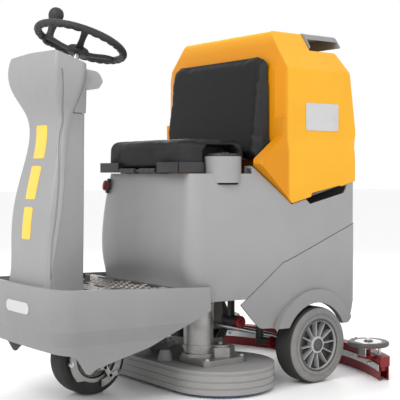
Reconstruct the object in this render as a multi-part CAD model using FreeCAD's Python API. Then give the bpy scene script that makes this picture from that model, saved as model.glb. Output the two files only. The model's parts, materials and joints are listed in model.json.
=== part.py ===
import FreeCAD, Part
import math
import os

from FreeCAD import Placement, Rotation, Vector

# Ride-on scrubber-dryer.  Millimetres, +Z up, the machine faces -Y and its left side is +X.
# The origin is the middle of the footprint on the floor.

# Layout along the machine
FRONT_OVERHANG = 250.0      # bumper face to front axle
WHEELBASE = 700.0
REAR_OVERHANG = 355.0       # rear axle to the back of the squeegee
LENGTH = FRONT_OVERHANG + WHEELBASE + REAR_OVERHANG
FRONT_AXLE_Y = FRONT_OVERHANG - LENGTH / 2
REAR_AXLE_Y = FRONT_AXLE_Y + WHEELBASE

# Clearances
WALL = 6.0                  # rotational-moulded shells
SEAM = 2.0                  # visible joint between two covers
RUNNING = 0.06              # radial clearance of a shaft in its bearing
CLEAR = 3.0                 # between pieces that pass each other

# Steering
RIM_RADIUS = 142.0
RIM_TUBE = 12.5
WHEEL_TILT = 19.5           # degrees, leaning back to the driver
RIM_CENTRE = Vector(0, FRONT_AXLE_Y - 22, 1138)
HUB_DROP = 28.0             # the spokes are dished by this much
HUB_RADIUS = 34.0
KNOB_RADIUS = 26.0
KNOB_RISE = 92.0            # knob's centre above the rim's plane
SHAFT_RADIUS = 10.0
UPPER_SHAFT = (RIM_CENTRE.y - FRONT_AXLE_Y + 96) / math.sin(math.radians(WHEEL_TILT)) - HUB_DROP - 12
STEER_LOCK = 75.0           # degrees each way at the fork

# Front moulding
COWL_FRONT_HALF = 240.0
COWL_REAR_HALF = 300.0
COWL_BAND_Z = 250.0         # the bumper steps in below this height
COWL_BAND_HEIGHT = 45.0
COWL_STEP = 12.0
DECK_Z = 350.0              # underside of the tread plate
PLATE = 3.0
COLUMN_TOP_Z = 1084.0
COLUMN_SPLIT_Z = 903.0      # seam between the rear cover and the binnacle
COVER_STEP = 4.0            # rear cover lies this much below the front moulding

# Body
BODY_HALF = 339.0
BODY_FRONT = REAR_AXLE_Y - 510.0
BODY_REAR = REAR_AXLE_Y + 212.0
BODY_BOTTOM_Z = 301.0
SEAT_DECK_Z = 716.0
BAY_HALF = 200.0            # battery bay
BAY_FLOOR_Z = 345.0
BATTERY_HEIGHT = 300.0
BOSS_RADIUS = 62.0          # water filler on the left side
BOSS_TOP_Z = 772.0
BOSS_X = 238.0
BOSS_Y = REAR_AXLE_Y - 328.0
FILLER_RADIUS = 42.0

# Seat
SEAT_HALF = 242.0
SEAT_DEPTH = 290.0
SEAT_THICK = 94.0
SEAT_PAN = 8.0
BACK_HALF = 290.0
BACK_TOP_Z = 1131.0

# Recovery tank
TANK_HALF = 330.0
TANK_TOP_Z = 1206.0
TANK_WALL = 5.0
LID_HEIGHT = 58.0
LID_HALF = 246.0
LID_KNUCKLES = (-150.0, 150.0)

# Hinges
HINGE_PIN = 4.0
SEAT_HINGE_Y = BODY_FRONT + 8
SEAT_HINGE_Z = SEAT_DECK_Z + 10
TANK_HINGE_X = -TANK_HALF - 17
TANK_HINGE_Z = 702.0
LID_SEAT_Z = TANK_TOP_Z - 64
LID_HINGE_Y = REAR_AXLE_Y + 25
LID_HINGE_Z = TANK_TOP_Z + 5.5
LID_PIN = 2.0
LID_BARREL = 4.5
LEAF = 4.0

# Emergency button
BUTTON_X = -214.0
BUTTON_Z = 668.0
BUTTON_HEAD = 19.0
BUTTON_STEM = 9.0
BUTTON_SEAT = 6.0           # flat seat cut in the corner, out from the button's point
BUTTON_RISE = 16.0          # underside of the head above the button's point
BUTTON_THICK = 12.0
BUTTON_TAIL = 12.0          # stem inside the body

# Water fittings under the left side
FILTER_X = 200.0
FILTER_Y = REAR_AXLE_Y - 226
FILTER_Z = 212.0
DRAIN_X = 200.0
DRAIN_Y = REAR_AXLE_Y - 78
DRAIN_Z = 126.0

# Running gear
REAR_RADIUS = 130.0
REAR_WIDTH = 90.0
REAR_OUTER_X = 360.0
RIM_R = 82.0
SPOKES = 12
AXLE_RADIUS = 10.0
FRONT_RADIUS = 120.0
FRONT_WIDTH = 90.0
RAIL_X = 215.0              # inner face of the chassis rails
RAIL_WIDTH = 25.0
RAIL_HEIGHT = 40.0
RAIL_Z = 300.0

# Scrubbing deck
BRUSH_X = 195.0
DECK_RADIUS = 182.0
DECK_Y = REAR_AXLE_Y - 302.0
DECK_TOP_Z = 87.0
SKIRT_BOTTOM_Z = 11.0
DECK_LIFT = 45.0
MOTOR_RADIUS = 50.0
MOTOR_TOP_Z = 282.0
MOTOR_X = 150.0
BRUSH_SHAFT = 12.0

# Squeegee
SQUEEGEE_RADIUS = 936.0     # back of the blade holder
SQUEEGEE_HALF = 480.0
SQUEEGEE_THICK = 40.0
BLADE = 4.0
HOLDER_Z = 34.0
HOLDER_TOP_Z = 84.0
ROLLER_RADIUS = 72.0
ROLLER_THICK = 16.0
ROLLER_Z = 114.0
PIVOT_Y = REAR_AXLE_Y + 205.0
PIVOT_R = 9.0
ROLLER_X = 405.0
KNOB_REACH = 250.0
ARM_HINGE_Y = REAR_AXLE_Y + 84.0
ARM_HINGE_Z = 214.0
ARM_PIN = 6.0

# Controls on the sloping top of the head
HEAD_SLOPE = math.degrees(math.atan2(66, 191))
CONTROL_Y = FRONT_AXLE_Y - 146
PANEL_HALF = 52.0
PANEL_DEPTH = 44.0
KEY_RADIUS = 11.0
KEY_X = 34.0
ROCKER_X = -32.0
ROCKER_WIDTH = 14.0
ROCKER_LENGTH = 26.0
ROCKER_PIVOT_Z = 5.5        # above the head's surface
ROCKER_PIN = 1.2
SPOKE_ANGLES = (95.0, 215.0, 335.0)
KNOB_ANGLE = math.radians(200)      # round the rim from the right
KNOB_X = RIM_RADIUS * math.cos(KNOB_ANGLE)
KNOB_Y = RIM_RADIUS * math.sin(KNOB_ANGLE)

# Steering gear and drive unit
LOWER_SHAFT_Y = FRONT_AXLE_Y - 96
SMALL_SPROCKET = 22.0       # the fork's sprocket is twice this
SPROCKET_Z = 317.0
FORK_TOP_Z = 295.0
KINGPIN = 25.0

# Pedal
PEDAL_X = -140.0
PEDAL_Y = FRONT_AXLE_Y + 58
PEDAL_Z = 366.0
PEDAL_PIN = 4.0

UP = Vector(0, 0, 1)
LEFT = Vector(1, 0, 0)
BACK = Vector(0, 1, 0)


def fy(distance):
    """Y of a point this far behind the front axle."""
    return FRONT_AXLE_Y + distance


def ry(distance):
    """Y of a point this far behind the rear axle."""
    return REAR_AXLE_Y + distance


# ---- basic shapes -------------------------------------------------------------------------
def box(x0, x1, y0, y1, z0, z1):
    return Part.makeBox(x1 - x0, y1 - y0, z1 - z0, Vector(x0, y0, z0))


def cyl(radius, height, base, axis=UP):
    return Part.makeCylinder(radius, height, base, axis)


def ring(outer, inner, height, base, axis=UP):
    return cyl(outer, height, base, axis).cut(cyl(inner, height, base, axis))


def mirror_x(shape):
    return shape.mirror(Vector(0, 0, 0), LEFT)


def both_sides(shape):
    return shape.fuse(mirror_x(shape))


def in_plan(z):
    return lambda u, v: Vector(u, v, z)


def in_side(x):
    return lambda u, v: Vector(x, u, v)


def in_front(y):
    return lambda u, v: Vector(u, y, v)


def corner_wire(corners, place):
    """Closed wire through (u, v, radius) corners, each rounded by a tangent arc."""
    count = len(corners)
    starts, arcs, ends = [], [], []
    for i, (u, v, radius) in enumerate(corners):
        here = Vector(u, v, 0)
        before = Vector(*corners[i - 1][:2], 0) - here
        after = Vector(*corners[(i + 1) % count][:2], 0) - here
        half = before.getAngle(after) / 2
        if radius <= 0 or half > 0.4999 * math.pi:
            starts.append(here)
            arcs.append(None)
            ends.append(here)
            continue
        reach = radius / math.tan(half)
        reach = min(reach, 0.48 * before.Length, 0.48 * after.Length)
        radius = reach * math.tan(half)
        before.normalize()
        after.normalize()
        inward = (before + after).normalize()
        middle = here + inward * (radius / math.sin(half) - radius)
        starts.append(here + before * reach)
        arcs.append(middle)
        ends.append(here + after * reach)
    edges = []
    for i in range(count):
        if arcs[i]:
            points = [place(p.x, p.y) for p in (starts[i], arcs[i], ends[i])]
            edges.append(Part.Arc(*points).toShape())
        here, there = ends[i], starts[(i + 1) % count]
        if (there - here).Length > 1e-6:
            edges.append(Part.makeLine(place(here.x, here.y), place(there.x, there.y)))
    return Part.Wire(edges)


def inset(corners, depth):
    """The same outline moved inwards by depth; convex corners tighten and hollow ones open."""
    if depth == 0:
        return corners
    count = len(corners)
    area = sum(corners[i - 1][0] * corners[i][1] - corners[i][0] * corners[i - 1][1]
               for i in range(count))
    turn = 1.0 if area > 0 else -1.0
    moved = []
    for i, (u, v, radius) in enumerate(corners):
        here = Vector(u, v, 0)
        inc = (here - Vector(*corners[i - 1][:2], 0)).normalize()
        out = (Vector(*corners[(i + 1) % count][:2], 0) - here).normalize()
        n_in = Vector(-inc.y, inc.x, 0) * turn
        n_out = Vector(-out.y, out.x, 0) * turn
        miter = (n_in + n_out) / (1 + n_in.dot(n_out))
        point = here + miter * depth
        convex = (inc.x * out.y - inc.y * out.x) * turn > 0
        new_radius = max(radius - depth, min(radius, 2.0)) if convex else radius + depth
        moved.append((point.x, point.y, new_radius))
    return moved


def mirrored(corners):
    """Complete a right-left outline from the corners of its +X half, first corner on x = 0."""
    half = [c for c in corners if c[0] > 0]
    middle = [c for c in corners if c[0] == 0]
    return middle[:1] + half + middle[1:] + [(-u, v, r) for u, v, r in reversed(half)]


def prism(corners, place, direction):
    return Part.Face(corner_wire(corners, place)).extrude(direction)


def prism_z(corners, z0, z1):
    return prism(corners, in_plan(z0), Vector(0, 0, z1 - z0))


def prism_x(corners, x0, x1):
    return prism(corners, in_side(x0), Vector(x1 - x0, 0, 0))


def prism_y(corners, y0, y1):
    return prism(corners, in_front(y0), Vector(0, y1 - y0, 0))


def loft(wires, ruled=False):
    return Part.makeLoft(wires, True, ruled)


def rod(start, end, radius):
    return cyl(radius, (end - start).Length, start, end - start)


def save(name, shape):
    shape = shape.removeSplitter()
    shape.exportStep(os.path.join("parts", name + ".step"))
    print(name, len(shape.Solids), shape.isValid(), round(shape.Volume / 1000), "cm3")


# ---- front moulding ------------------------------------------------------------------------
# Sections of the column: height, then crease, side seam and rear edge as (half width, y).
COLUMN_SECTIONS = [
    (330, (136, -228), (153, -198), (104, -68)),
    (515, (119, -213), (132, -185), (101, -65)),
    (700, (114, -184), (122, -156), (100, -62)),
    (903, (111, -163), (116, -130), (100, -59)),
    (985, (150, -196), (154, -112), (130, -76)),
    (1040, (160, -203), (162, -100), (140, -84)),
    (1100, (146, -190), (149, -96), (137, -86)),
]


def column_envelope(depth=0.0):
    wires = []
    for z, crease, seam, rear in COLUMN_SECTIONS:
        corners = mirrored([
            (0, fy(crease[1] - 9), 500), (crease[0], fy(crease[1]), 12),
            (seam[0], fy(seam[1]), 25), (rear[0], fy(rear[1]), 14)])
        wires.append(corner_wire(inset(corners, depth), in_plan(z)))
    solid = loft(wires)
    slope = [(fy(-260), COLUMN_TOP_Z + 30 - depth, 0), (fy(-191), COLUMN_TOP_Z - depth, 60),
             (fy(0), COLUMN_TOP_Z - 66 - depth, 0), (fy(0), 0, 0), (fy(-260), 0, 0)]
    return solid.common(prism_x(slope, -300, 300))


def behind_seam(shift=0.0):
    """Everything behind the line where the front moulding meets the rear cover."""
    line = [(fy(-214 + shift), 330, 0), (fy(-124 + shift), 874, 0), (fy(-90 + shift), 1015, 0),
            (fy(-90 + shift), 1120, 0), (fy(100), 1120, 0), (fy(100), 330, 0)]
    return prism_x(line, -300, 300)


def cowl_plan(depth):
    return inset(mirrored([
        (90, fy(-FRONT_OVERHANG), 500), (COWL_FRONT_HALF, fy(-FRONT_OVERHANG + 12), 66),
        (COWL_REAR_HALF - 14, fy(60), 500), (COWL_REAR_HALF, BODY_FRONT + 96, 16)]), depth)


def cowl_envelope(depth=0.0):
    low = COWL_BAND_Z - COWL_BAND_HEIGHT
    upper = prism_z(cowl_plan(depth), COWL_BAND_Z, 380)
    band = loft([corner_wire(cowl_plan(depth + COWL_STEP), in_plan(low)),
                 corner_wire(cowl_plan(depth), in_plan(COWL_BAND_Z))], True)
    lower = prism_z(cowl_plan(depth + COWL_STEP), 60, low)
    return upper.fuse([band, lower])


def cowl_profile():
    """Side outline: rim, rising lower edge, rounded fender tip and bumper's lower edge."""
    rear = BODY_FRONT + 100
    return [(fy(-270), 377, 0), (rear, 354, 0), (rear, 285, 10), (fy(60), 184, 200),
            (fy(-118), 133, 30), (fy(-142), 112, 16), (fy(-180), 176, 30), (fy(-270), 188, 0)]


def column_shell(depth):
    return column_envelope(depth).cut(column_envelope(depth + WALL))


def make_front_cowl():
    rear_cut = COWL_REAR_HALF - 2 * WALL
    rear_open = box(-rear_cut, rear_cut, BODY_FRONT - CLEAR, BODY_FRONT + 200, 0, 500)
    hollow = cowl_envelope(WALL).common(box(-400, 400, fy(-400), BODY_FRONT + 200, 0, DECK_Z - WALL))
    tray = prism_z(inset(cowl_plan(0), 14), DECK_Z, 400)
    skin = cowl_envelope().common(prism_x(cowl_profile(), -400, 400)).cut([rear_open, hollow, tray])
    column = column_envelope().cut(behind_seam())
    column_foot = column_envelope(WALL).common(box(-300, 300, fy(-400), fy(-60), DECK_Z - 20, 420))
    shell = skin.fuse(column).cut([column_envelope(WALL), hollow, column_foot])
    shell = shell.cut(side_groove())
    bolts = [cyl(4.2, 30, Vector(x, fy(y), DECK_Z - 20)) for x in (-228, 228) for y in (-40, 150)]
    return max(shell.cut(bolts).Solids, key=lambda s: s.Volume)


def side_groove():
    """Shallow groove that runs up the side of the column just behind the front crease."""
    line = [(fy(-208), 395), (fy(-199), 515), (fy(-172), 700), (fy(-150), 880), (fy(-176), 985),
            (fy(-184), 1030)]
    strip = [(y, z, 0) for y, z in line] + [(y + 6, z, 0) for y, z in reversed(line)]
    skin = column_envelope(-1.0).cut(column_envelope(3.0))
    return skin.common(prism_x(strip, -300, 300))


def make_column_rear_cover():
    zone = behind_seam(SEAM).common(
        box(-300, 300, -1000, 1000, DECK_Z + PLATE + 1, COLUMN_SPLIT_Z - SEAM / 2))
    cover = column_shell(COVER_STEP).common(zone)
    slot = box(-16, 16, fy(-90), fy(-40), DECK_Z, DECK_Z + 90)
    return cover.cut(slot)


def console_envelope(depth=0.0):
    side = inset([(fy(-105), 972, 0), (fy(-30), 980, 14), (fy(-14), 1004, 12),
                  (fy(-22), 1034, 22), (fy(-105), 1046, 0)], depth)
    front = inset([(-124, 960, 0), (124, 960, 0), (124, 1000, 20), (104, 1052, 24),
                   (-104, 1052, 24), (-124, 1000, 20)], depth)
    block = prism_x(side, -200, 200)
    return block.common(prism_y(front, fy(-200), fy(100)))


def head_frame():
    """Placement whose origin lies on the head's sloping top and whose +Z is its normal."""
    drop = (CONTROL_Y - fy(-191)) * math.tan(math.radians(HEAD_SLOPE))
    return Placement(Vector(0, CONTROL_Y, COLUMN_TOP_Z - drop), Rotation(LEFT, -HEAD_SLOPE))


def on_head(shape):
    shape.Placement = head_frame().multiply(shape.Placement)
    return shape


def make_dash_binnacle():
    zone = behind_seam(SEAM).common(box(-300, 300, -1000, 1000, COLUMN_SPLIT_Z + SEAM / 2, 1200))
    head = column_envelope().common(zone).fuse(console_envelope().common(behind_seam(SEAM)))
    room = column_envelope(WALL).fuse(console_envelope(WALL))
    hole = rod(shaft_point(-60), shaft_point(UPPER_SHAFT + 20), SHAFT_RADIUS + 8)
    under = box(-90, 90, fy(-100), fy(-40), 960, 990)
    return max(head.cut([room, hole, under]).Solids, key=lambda s: s.Volume)


def make_dash_panel():
    """Display panel let into the sloping top of the head, with the holes of its controls."""
    plate = box(-PANEL_HALF, PANEL_HALF, -PANEL_DEPTH / 2, PANEL_DEPTH / 2, 0.3, 5)
    holes = [cyl(KEY_RADIUS + 0.5, 30, Vector(KEY_X, 0, -10)),
             box(ROCKER_X - ROCKER_WIDTH / 2 - 0.6, ROCKER_X + ROCKER_WIDTH / 2 + 0.6,
                 -ROCKER_LENGTH / 2 - 0.8, ROCKER_LENGTH / 2 + 0.8, -10, 20)]
    pin = cyl(ROCKER_PIN, ROCKER_WIDTH + 6, Vector(ROCKER_X - ROCKER_WIDTH / 2 - 3, 0, ROCKER_PIVOT_Z), LEFT)
    return on_head(plate.cut(holes).fuse(pin))


def make_key_switch():
    barrel = cyl(KEY_RADIUS, 6, Vector(KEY_X, 0, 0.5))
    bow = box(KEY_X - 1.5, KEY_X + 1.5, -9, 9, 6.5, 26)
    return on_head(barrel.fuse(bow))


def make_direction_switch():
    profile = [(-ROCKER_LENGTH / 2, 2.5, 0), (ROCKER_LENGTH / 2, 2.5, 0),
               (ROCKER_LENGTH / 2 - 1, 10, 1), (0, 7, 20), (-ROCKER_LENGTH / 2 + 1, 10, 1)]
    rocker = prism_x(profile, ROCKER_X - ROCKER_WIDTH / 2, ROCKER_X + ROCKER_WIDTH / 2)
    return on_head(rocker.cut(cyl(ROCKER_PIN + RUNNING, 60, Vector(ROCKER_X - 30, 0, ROCKER_PIVOT_Z), LEFT)))


# ---- footplate, pedal, column frame ----------------------------------------------------------
def make_footplate():
    rear = BODY_FRONT - 2 * CLEAR
    plate = prism_z(inset(cowl_plan(0), 14 + 1), DECK_Z, DECK_Z + PLATE)
    front = box(-400, 400, fy(-400), fy(-57), DECK_Z - 1, DECK_Z + 10)
    plate = plate.cut(front).common(box(-400, 400, fy(-400), rear, 0, 500))
    drains = [slot_hole(x, fy(y)) for x in (-150, -50, 50, 150) for y in (15, 150)]
    bolts = [cyl(4.2, 30, Vector(x, fy(y), DECK_Z - 20)) for x in (-228, 228) for y in (-40, 150)]
    return plate.cut(drains + bolts).fuse(pedal_bracket())


def slot_hole(x, y):
    corners = [(x - 22, y - 8, 7.9), (x + 22, y - 8, 7.9), (x + 22, y + 8, 7.9), (x - 22, y + 8, 7.9)]
    return prism_z(corners, DECK_Z - 5, DECK_Z + 15)


def make_accelerator_pedal():
    """Pedal plate hinged at its heel on the footplate."""
    side = [(0, -5, 4), (12, 4, 3), (-84, 44, 3), (-88, 37, 3)]
    place = lambda u, v: Vector(PEDAL_X - 32, PEDAL_Y + u, PEDAL_Z + v)
    plate = Part.Face(corner_wire(side, place)).extrude(Vector(64, 0, 0))
    barrel = cyl(7, 64, Vector(PEDAL_X - 32, PEDAL_Y, PEDAL_Z), LEFT)
    bore = cyl(PEDAL_PIN + RUNNING, 80, Vector(PEDAL_X - 40, PEDAL_Y, PEDAL_Z), LEFT)
    return plate.fuse(barrel).cut(bore)


def pedal_bracket():
    """Two ears and a pin, welded on the plate."""
    pin = cyl(PEDAL_PIN, 96, Vector(PEDAL_X - 48, PEDAL_Y, PEDAL_Z), LEFT)
    base = box(PEDAL_X - 48, PEDAL_X + 48, PEDAL_Y - 12, PEDAL_Y + 14, DECK_Z + PLATE, DECK_Z + PLATE + 3)
    ears = [box(x, x + 8, PEDAL_Y - 9, PEDAL_Y + 9, DECK_Z + PLATE, PEDAL_Z + 9)
            for x in (PEDAL_X - 46, PEDAL_X + 38)]
    return base.fuse(ears + [pin])


def make_column_frame():
    """Two uprights with the plates that carry the lower steering shaft."""
    y0, y1 = LOWER_SHAFT_Y - 34, LOWER_SHAFT_Y + 14
    uprights = [box(x, x + 14, y0, y1, RAIL_Z + RAIL_HEIGHT + 10, 860) for x in (-62, 48)]
    plates = [box(-62, 62, y0, y1, z, z + 10) for z in (RAIL_Z + RAIL_HEIGHT, 600, 860)]
    bore = cyl(SHAFT_RADIUS + RUNNING, 800, Vector(0, LOWER_SHAFT_Y, 200))
    return uprights[0].fuse(uprights[1:] + plates).cut(bore)


# ---- steering ----------------------------------------------------------------------------------
def wheel_axis():
    tilt = math.radians(WHEEL_TILT)
    return Vector(0, math.sin(tilt), math.cos(tilt))


def wheel_frame():
    """Placement of the steering wheel: origin at the rim's centre, +Z along the shaft."""
    return Placement(RIM_CENTRE, Rotation(LEFT, -WHEEL_TILT))


def on_wheel(shape):
    shape.Placement = wheel_frame().multiply(shape.Placement)
    return shape


def shaft_point(distance):
    """Point on the steering shaft this far below the hub's underside."""
    return RIM_CENTRE - wheel_axis() * (HUB_DROP + 12 + distance)


def make_steering_wheel():
    rim = Part.makeTorus(RIM_RADIUS, RIM_TUBE)
    hub = cyl(HUB_RADIUS, 16, Vector(0, 0, -HUB_DROP - 12)).fuse(
        Part.makeCone(HUB_RADIUS, HUB_RADIUS - 8, 8, Vector(0, 0, -HUB_DROP + 4)))
    pieces = [hub]
    for angle in SPOKE_ANGLES:
        side = [(HUB_RADIUS - 15, -HUB_DROP - 8), (HUB_RADIUS + 8, -HUB_DROP - 8),
                (RIM_RADIUS - 30, -8), (RIM_RADIUS - 4, -5), (RIM_RADIUS - 4, 5),
                (RIM_RADIUS - 34, 4), (HUB_RADIUS + 8, -HUB_DROP + 6), (HUB_RADIUS - 15, -HUB_DROP + 6)]
        spoke = Part.Face(corner_wire([(u, v, 6) for u, v in side], in_front(-13)))
        spoke = spoke.extrude(Vector(0, 26, 0))
        spoke.rotate(Vector(0, 0, 0), UP, angle)
        pieces.append(spoke)
    wheel = rim.fuse(pieces)
    bore = cyl(SHAFT_RADIUS, 60, Vector(0, 0, -HUB_DROP - 30))
    stud = cyl(4, KNOB_RISE - 12, Vector(KNOB_X, KNOB_Y, 0))
    return on_wheel(wheel.cut(bore).fuse(stud))


def make_steering_knob():
    foot = RIM_TUBE + 0.6
    shaft = Part.makeCone(15, 9, KNOB_RISE - foot - 12, Vector(KNOB_X, KNOB_Y, foot))
    head = Part.makeSphere(KNOB_RADIUS, Vector(KNOB_X, KNOB_Y, KNOB_RISE))
    head = head.common(cyl(40, 60, Vector(KNOB_X, KNOB_Y, KNOB_RISE - 15)))
    bore = cyl(4 + RUNNING, KNOB_RISE - 11, Vector(KNOB_X, KNOB_Y, 0))
    return on_wheel(shaft.fuse(head).cut(bore))


def make_upper_shaft():
    shaft = rod(shaft_point(UPPER_SHAFT - 34), shaft_point(-16), SHAFT_RADIUS)
    yoke = rod(shaft_point(UPPER_SHAFT - 34), shaft_point(UPPER_SHAFT - 50), SHAFT_RADIUS + 5)
    return shaft.fuse(yoke)


def make_lower_shaft():
    top = shaft_point(UPPER_SHAFT).z - 18
    base = Vector(0, LOWER_SHAFT_Y, SPROCKET_Z - 24)
    shaft = cyl(SHAFT_RADIUS, top - base.z, base)
    yoke = cyl(SHAFT_RADIUS + 4, 16, Vector(0, LOWER_SHAFT_Y, top - 16))
    return shaft.fuse([yoke, sprocket(SMALL_SPROCKET, LOWER_SHAFT_Y, 12)])


def sprocket(radius, y, teeth):
    disc = cyl(radius, 6, Vector(0, y, SPROCKET_Z))
    for i in range(teeth):
        a = 2 * math.pi * (i + 0.5) / teeth
        notch = Vector((radius + 1) * math.cos(a), y + (radius + 1) * math.sin(a), SPROCKET_Z - 1)
        disc = disc.cut(cyl(3, 8, notch))
    return disc


def make_steering_chain():
    inner = belt_loop(0.6)
    outer = belt_loop(4.6)
    return outer.cut(inner)


def belt_loop(gap):
    """Belt outline around the two sprockets: two discs and the strip tangent to both."""
    r0, r1 = SMALL_SPROCKET + gap, 2 * SMALL_SPROCKET + gap
    span = FRONT_AXLE_Y - LOWER_SHAFT_Y
    lean = math.asin((r1 - r0) / span)
    c, s = math.cos(lean), math.sin(lean)
    strip = [(r0 * c, LOWER_SHAFT_Y - r0 * s, 0), (r1 * c, FRONT_AXLE_Y - r1 * s, 0),
             (-r1 * c, FRONT_AXLE_Y - r1 * s, 0), (-r0 * c, LOWER_SHAFT_Y - r0 * s, 0)]
    discs = [cyl(r0, 4, Vector(0, LOWER_SHAFT_Y, SPROCKET_Z + 1)),
             cyl(r1, 4, Vector(0, FRONT_AXLE_Y, SPROCKET_Z + 1))]
    return prism_z(strip, SPROCKET_Z + 1, SPROCKET_Z + 5).fuse(discs)


# ---- drive unit --------------------------------------------------------------------------------
def make_fork_bearing():
    return ring(84, KINGPIN + RUNNING, 9, Vector(0, FRONT_AXLE_Y, FORK_TOP_Z + 1))


def make_drive_fork():
    y = FRONT_AXLE_Y
    crown = cyl(80, 11, Vector(0, y, FORK_TOP_Z - 11))
    pin = cyl(KINGPIN, SPROCKET_Z + 8 - FORK_TOP_Z, Vector(0, y, FORK_TOP_Z))
    inner = FRONT_WIDTH / 2 + 9
    pieces = [pin, sprocket(2 * SMALL_SPROCKET, y, 24)]
    for side in (-1, 1):
        leg = [(y - 32, FORK_TOP_Z, 0), (y + 32, FORK_TOP_Z, 0), (y + 26, FRONT_RADIUS - 28, 24),
               (y - 26, FRONT_RADIUS - 28, 24)]
        x0 = inner if side > 0 else -inner - 11
        pieces.append(prism_x(leg, x0, x0 + 11))
    guard_x = FRONT_WIDTH / 2 + 3
    guard = ring(96, 74, 6, Vector(guard_x, y, FRONT_RADIUS), LEFT)
    guard = guard.cut(box(0, 200, y - 200, y + 20, 0, FRONT_RADIUS - 66))
    lugs = [cyl(9, 8, Vector(guard_x - 1, y + 92 * math.cos(a), FRONT_RADIUS + 92 * math.sin(a)), LEFT)
            for a in (math.radians(25), math.radians(105), math.radians(185))]
    tie = box(guard_x, inner + 2, y - 24, y + 24, FRONT_RADIUS + 60, FRONT_RADIUS + 96)
    axle = cyl(12, 2 * inner + 34, Vector(-inner - 17, y, FRONT_RADIUS), LEFT)
    return crown.fuse(pieces + [guard, tie, axle] + lugs)


def make_drive_motor():
    """Stator of the hub motor, fixed on the axle."""
    return ring(58, 12, 56, Vector(-24, FRONT_AXLE_Y, FRONT_RADIUS), LEFT)


def make_front_hub():
    y = FRONT_AXLE_Y
    drum = ring(78, 66, FRONT_WIDTH - 6, Vector(3 - FRONT_WIDTH / 2, y, FRONT_RADIUS), LEFT)
    web = ring(66, 12 + RUNNING, 8, Vector(3 - FRONT_WIDTH / 2, y, FRONT_RADIUS), LEFT)
    boss = ring(24, 12 + RUNNING, 14, Vector(3 - FRONT_WIDTH / 2, y, FRONT_RADIUS), LEFT)
    return drum.fuse([web, boss])


def tyre(radius, inner, width, x, y):
    """Tyre with rounded shoulders, revolved about the axle; x is its inner side."""
    crown = width / 4
    corners = [(x, inner, 0), (x + width, inner, 0), (x + width, radius - 5, 12),
               (x + width - crown, radius, 60), (x + crown, radius, 60), (x, radius - 5, 12)]
    place = lambda u, v: Vector(u, y, radius + v)
    face = Part.Face(corner_wire(corners, place))
    return face.revolve(Vector(0, y, radius), LEFT, 360)


def make_front_tyre():
    return tyre(FRONT_RADIUS, 78, FRONT_WIDTH, -FRONT_WIDTH / 2, FRONT_AXLE_Y)


def make_rear_tyre():
    return tyre(REAR_RADIUS, RIM_R + 8, REAR_WIDTH, REAR_OUTER_X - REAR_WIDTH, REAR_AXLE_Y)


def make_rear_rim():
    """Dished rim with twelve spokes and a hub that runs on the axle."""
    x1 = REAR_OUTER_X - 4
    x0 = REAR_OUTER_X - REAR_WIDTH + 4
    centre = Vector(0, REAR_AXLE_Y, REAR_RADIUS)
    barrel = ring(RIM_R + 8, RIM_R - 3, x1 - x0, centre + Vector(x0, 0, 0), LEFT)
    hub = cyl(21, x1 - x0 - 6, centre + Vector(x0, 0, 0), LEFT)
    dish = cyl(RIM_R, 6, centre + Vector(x1 - 34, 0, 0), LEFT)
    pieces = [hub, dish]
    for i in range(SPOKES):
        spoke = box(x1 - 30, x1 - 8, REAR_AXLE_Y - 4, REAR_AXLE_Y + 4, REAR_RADIUS + 14, REAR_RADIUS + RIM_R)
        spoke.rotate(centre, LEFT, i * 360 / SPOKES)
        pieces.append(spoke)
    bore = cyl(AXLE_RADIUS + RUNNING, 200, centre + Vector(x0 - 20, 0, 0), LEFT)
    return barrel.fuse(pieces).cut(bore)


def make_rear_axle():
    half = REAR_OUTER_X - 6
    return cyl(AXLE_RADIUS, 2 * half, Vector(-half, REAR_AXLE_Y, REAR_RADIUS), LEFT)


# ---- chassis -----------------------------------------------------------------------------------
def make_chassis_frame():
    top = RAIL_Z + RAIL_HEIGHT
    outer = RAIL_X + RAIL_WIDTH
    nose = LOWER_SHAFT_Y - 2 * SMALL_SPROCKET
    rails = [box(x, x + RAIL_WIDTH, nose, BODY_REAR - 40, RAIL_Z, top) for x in (-outer, RAIL_X)]
    fork_plate = box(-RAIL_X, RAIL_X, nose, fy(95), FORK_TOP_Z + 10, FORK_TOP_Z + 16)
    holes = [cyl(KINGPIN + 5, 60, Vector(0, FRONT_AXLE_Y, FORK_TOP_Z)),
             cyl(SHAFT_RADIUS + RUNNING, 60, Vector(0, LOWER_SHAFT_Y, FORK_TOP_Z))]
    front = box(-RAIL_X, RAIL_X, nose, nose + 6, RAIL_Z, top)
    floor = box(-RAIL_X, RAIL_X, BODY_FRONT + 38, REAR_AXLE_Y - 155, top - 6, top)
    cross = [box(-RAIL_X, RAIL_X, y, y + 25, RAIL_Z, top) for y in (REAR_AXLE_Y - 12, BODY_REAR - 65)]
    pieces = [fork_plate.cut(holes), front, floor] + cross
    pieces += [box(x, x + 10, REAR_AXLE_Y - 40, REAR_AXLE_Y + 40, REAR_RADIUS - 20, RAIL_Z)
               for x in (-RAIL_X - 10, RAIL_X)]
    bore = cyl(AXLE_RADIUS, 600, Vector(-300, REAR_AXLE_Y, REAR_RADIUS), LEFT)
    return rails[0].fuse(rails[1:] + pieces).cut(bore)


# ---- body --------------------------------------------------------------------------------------
# Sections of the grey body: height, front y behind the front of the body, front half width.
BODY_SECTIONS = [(160, 12, 272), (300, 9, 276), (385, 6, 281), (400, 2, 281), (540, 0, 283), (640, 12, 272),
                 (800, 42, 240)]


def body_envelope(depth=0.0):
    wires = []
    for z, back, half in BODY_SECTIONS:
        front = BODY_FRONT + back
        corners = mirrored([
            (0, front, 900), (half - 8, front + 22, 72), (half + 4, BODY_FRONT + 118, 260),
            (BODY_HALF - 4, REAR_AXLE_Y - 100, 260), (BODY_HALF, BODY_REAR - 2, 42),
            (0, BODY_REAR + 4, 2000)])
        wires.append(corner_wire(inset(corners, depth), in_plan(z)))
    return loft(wires)


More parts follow.
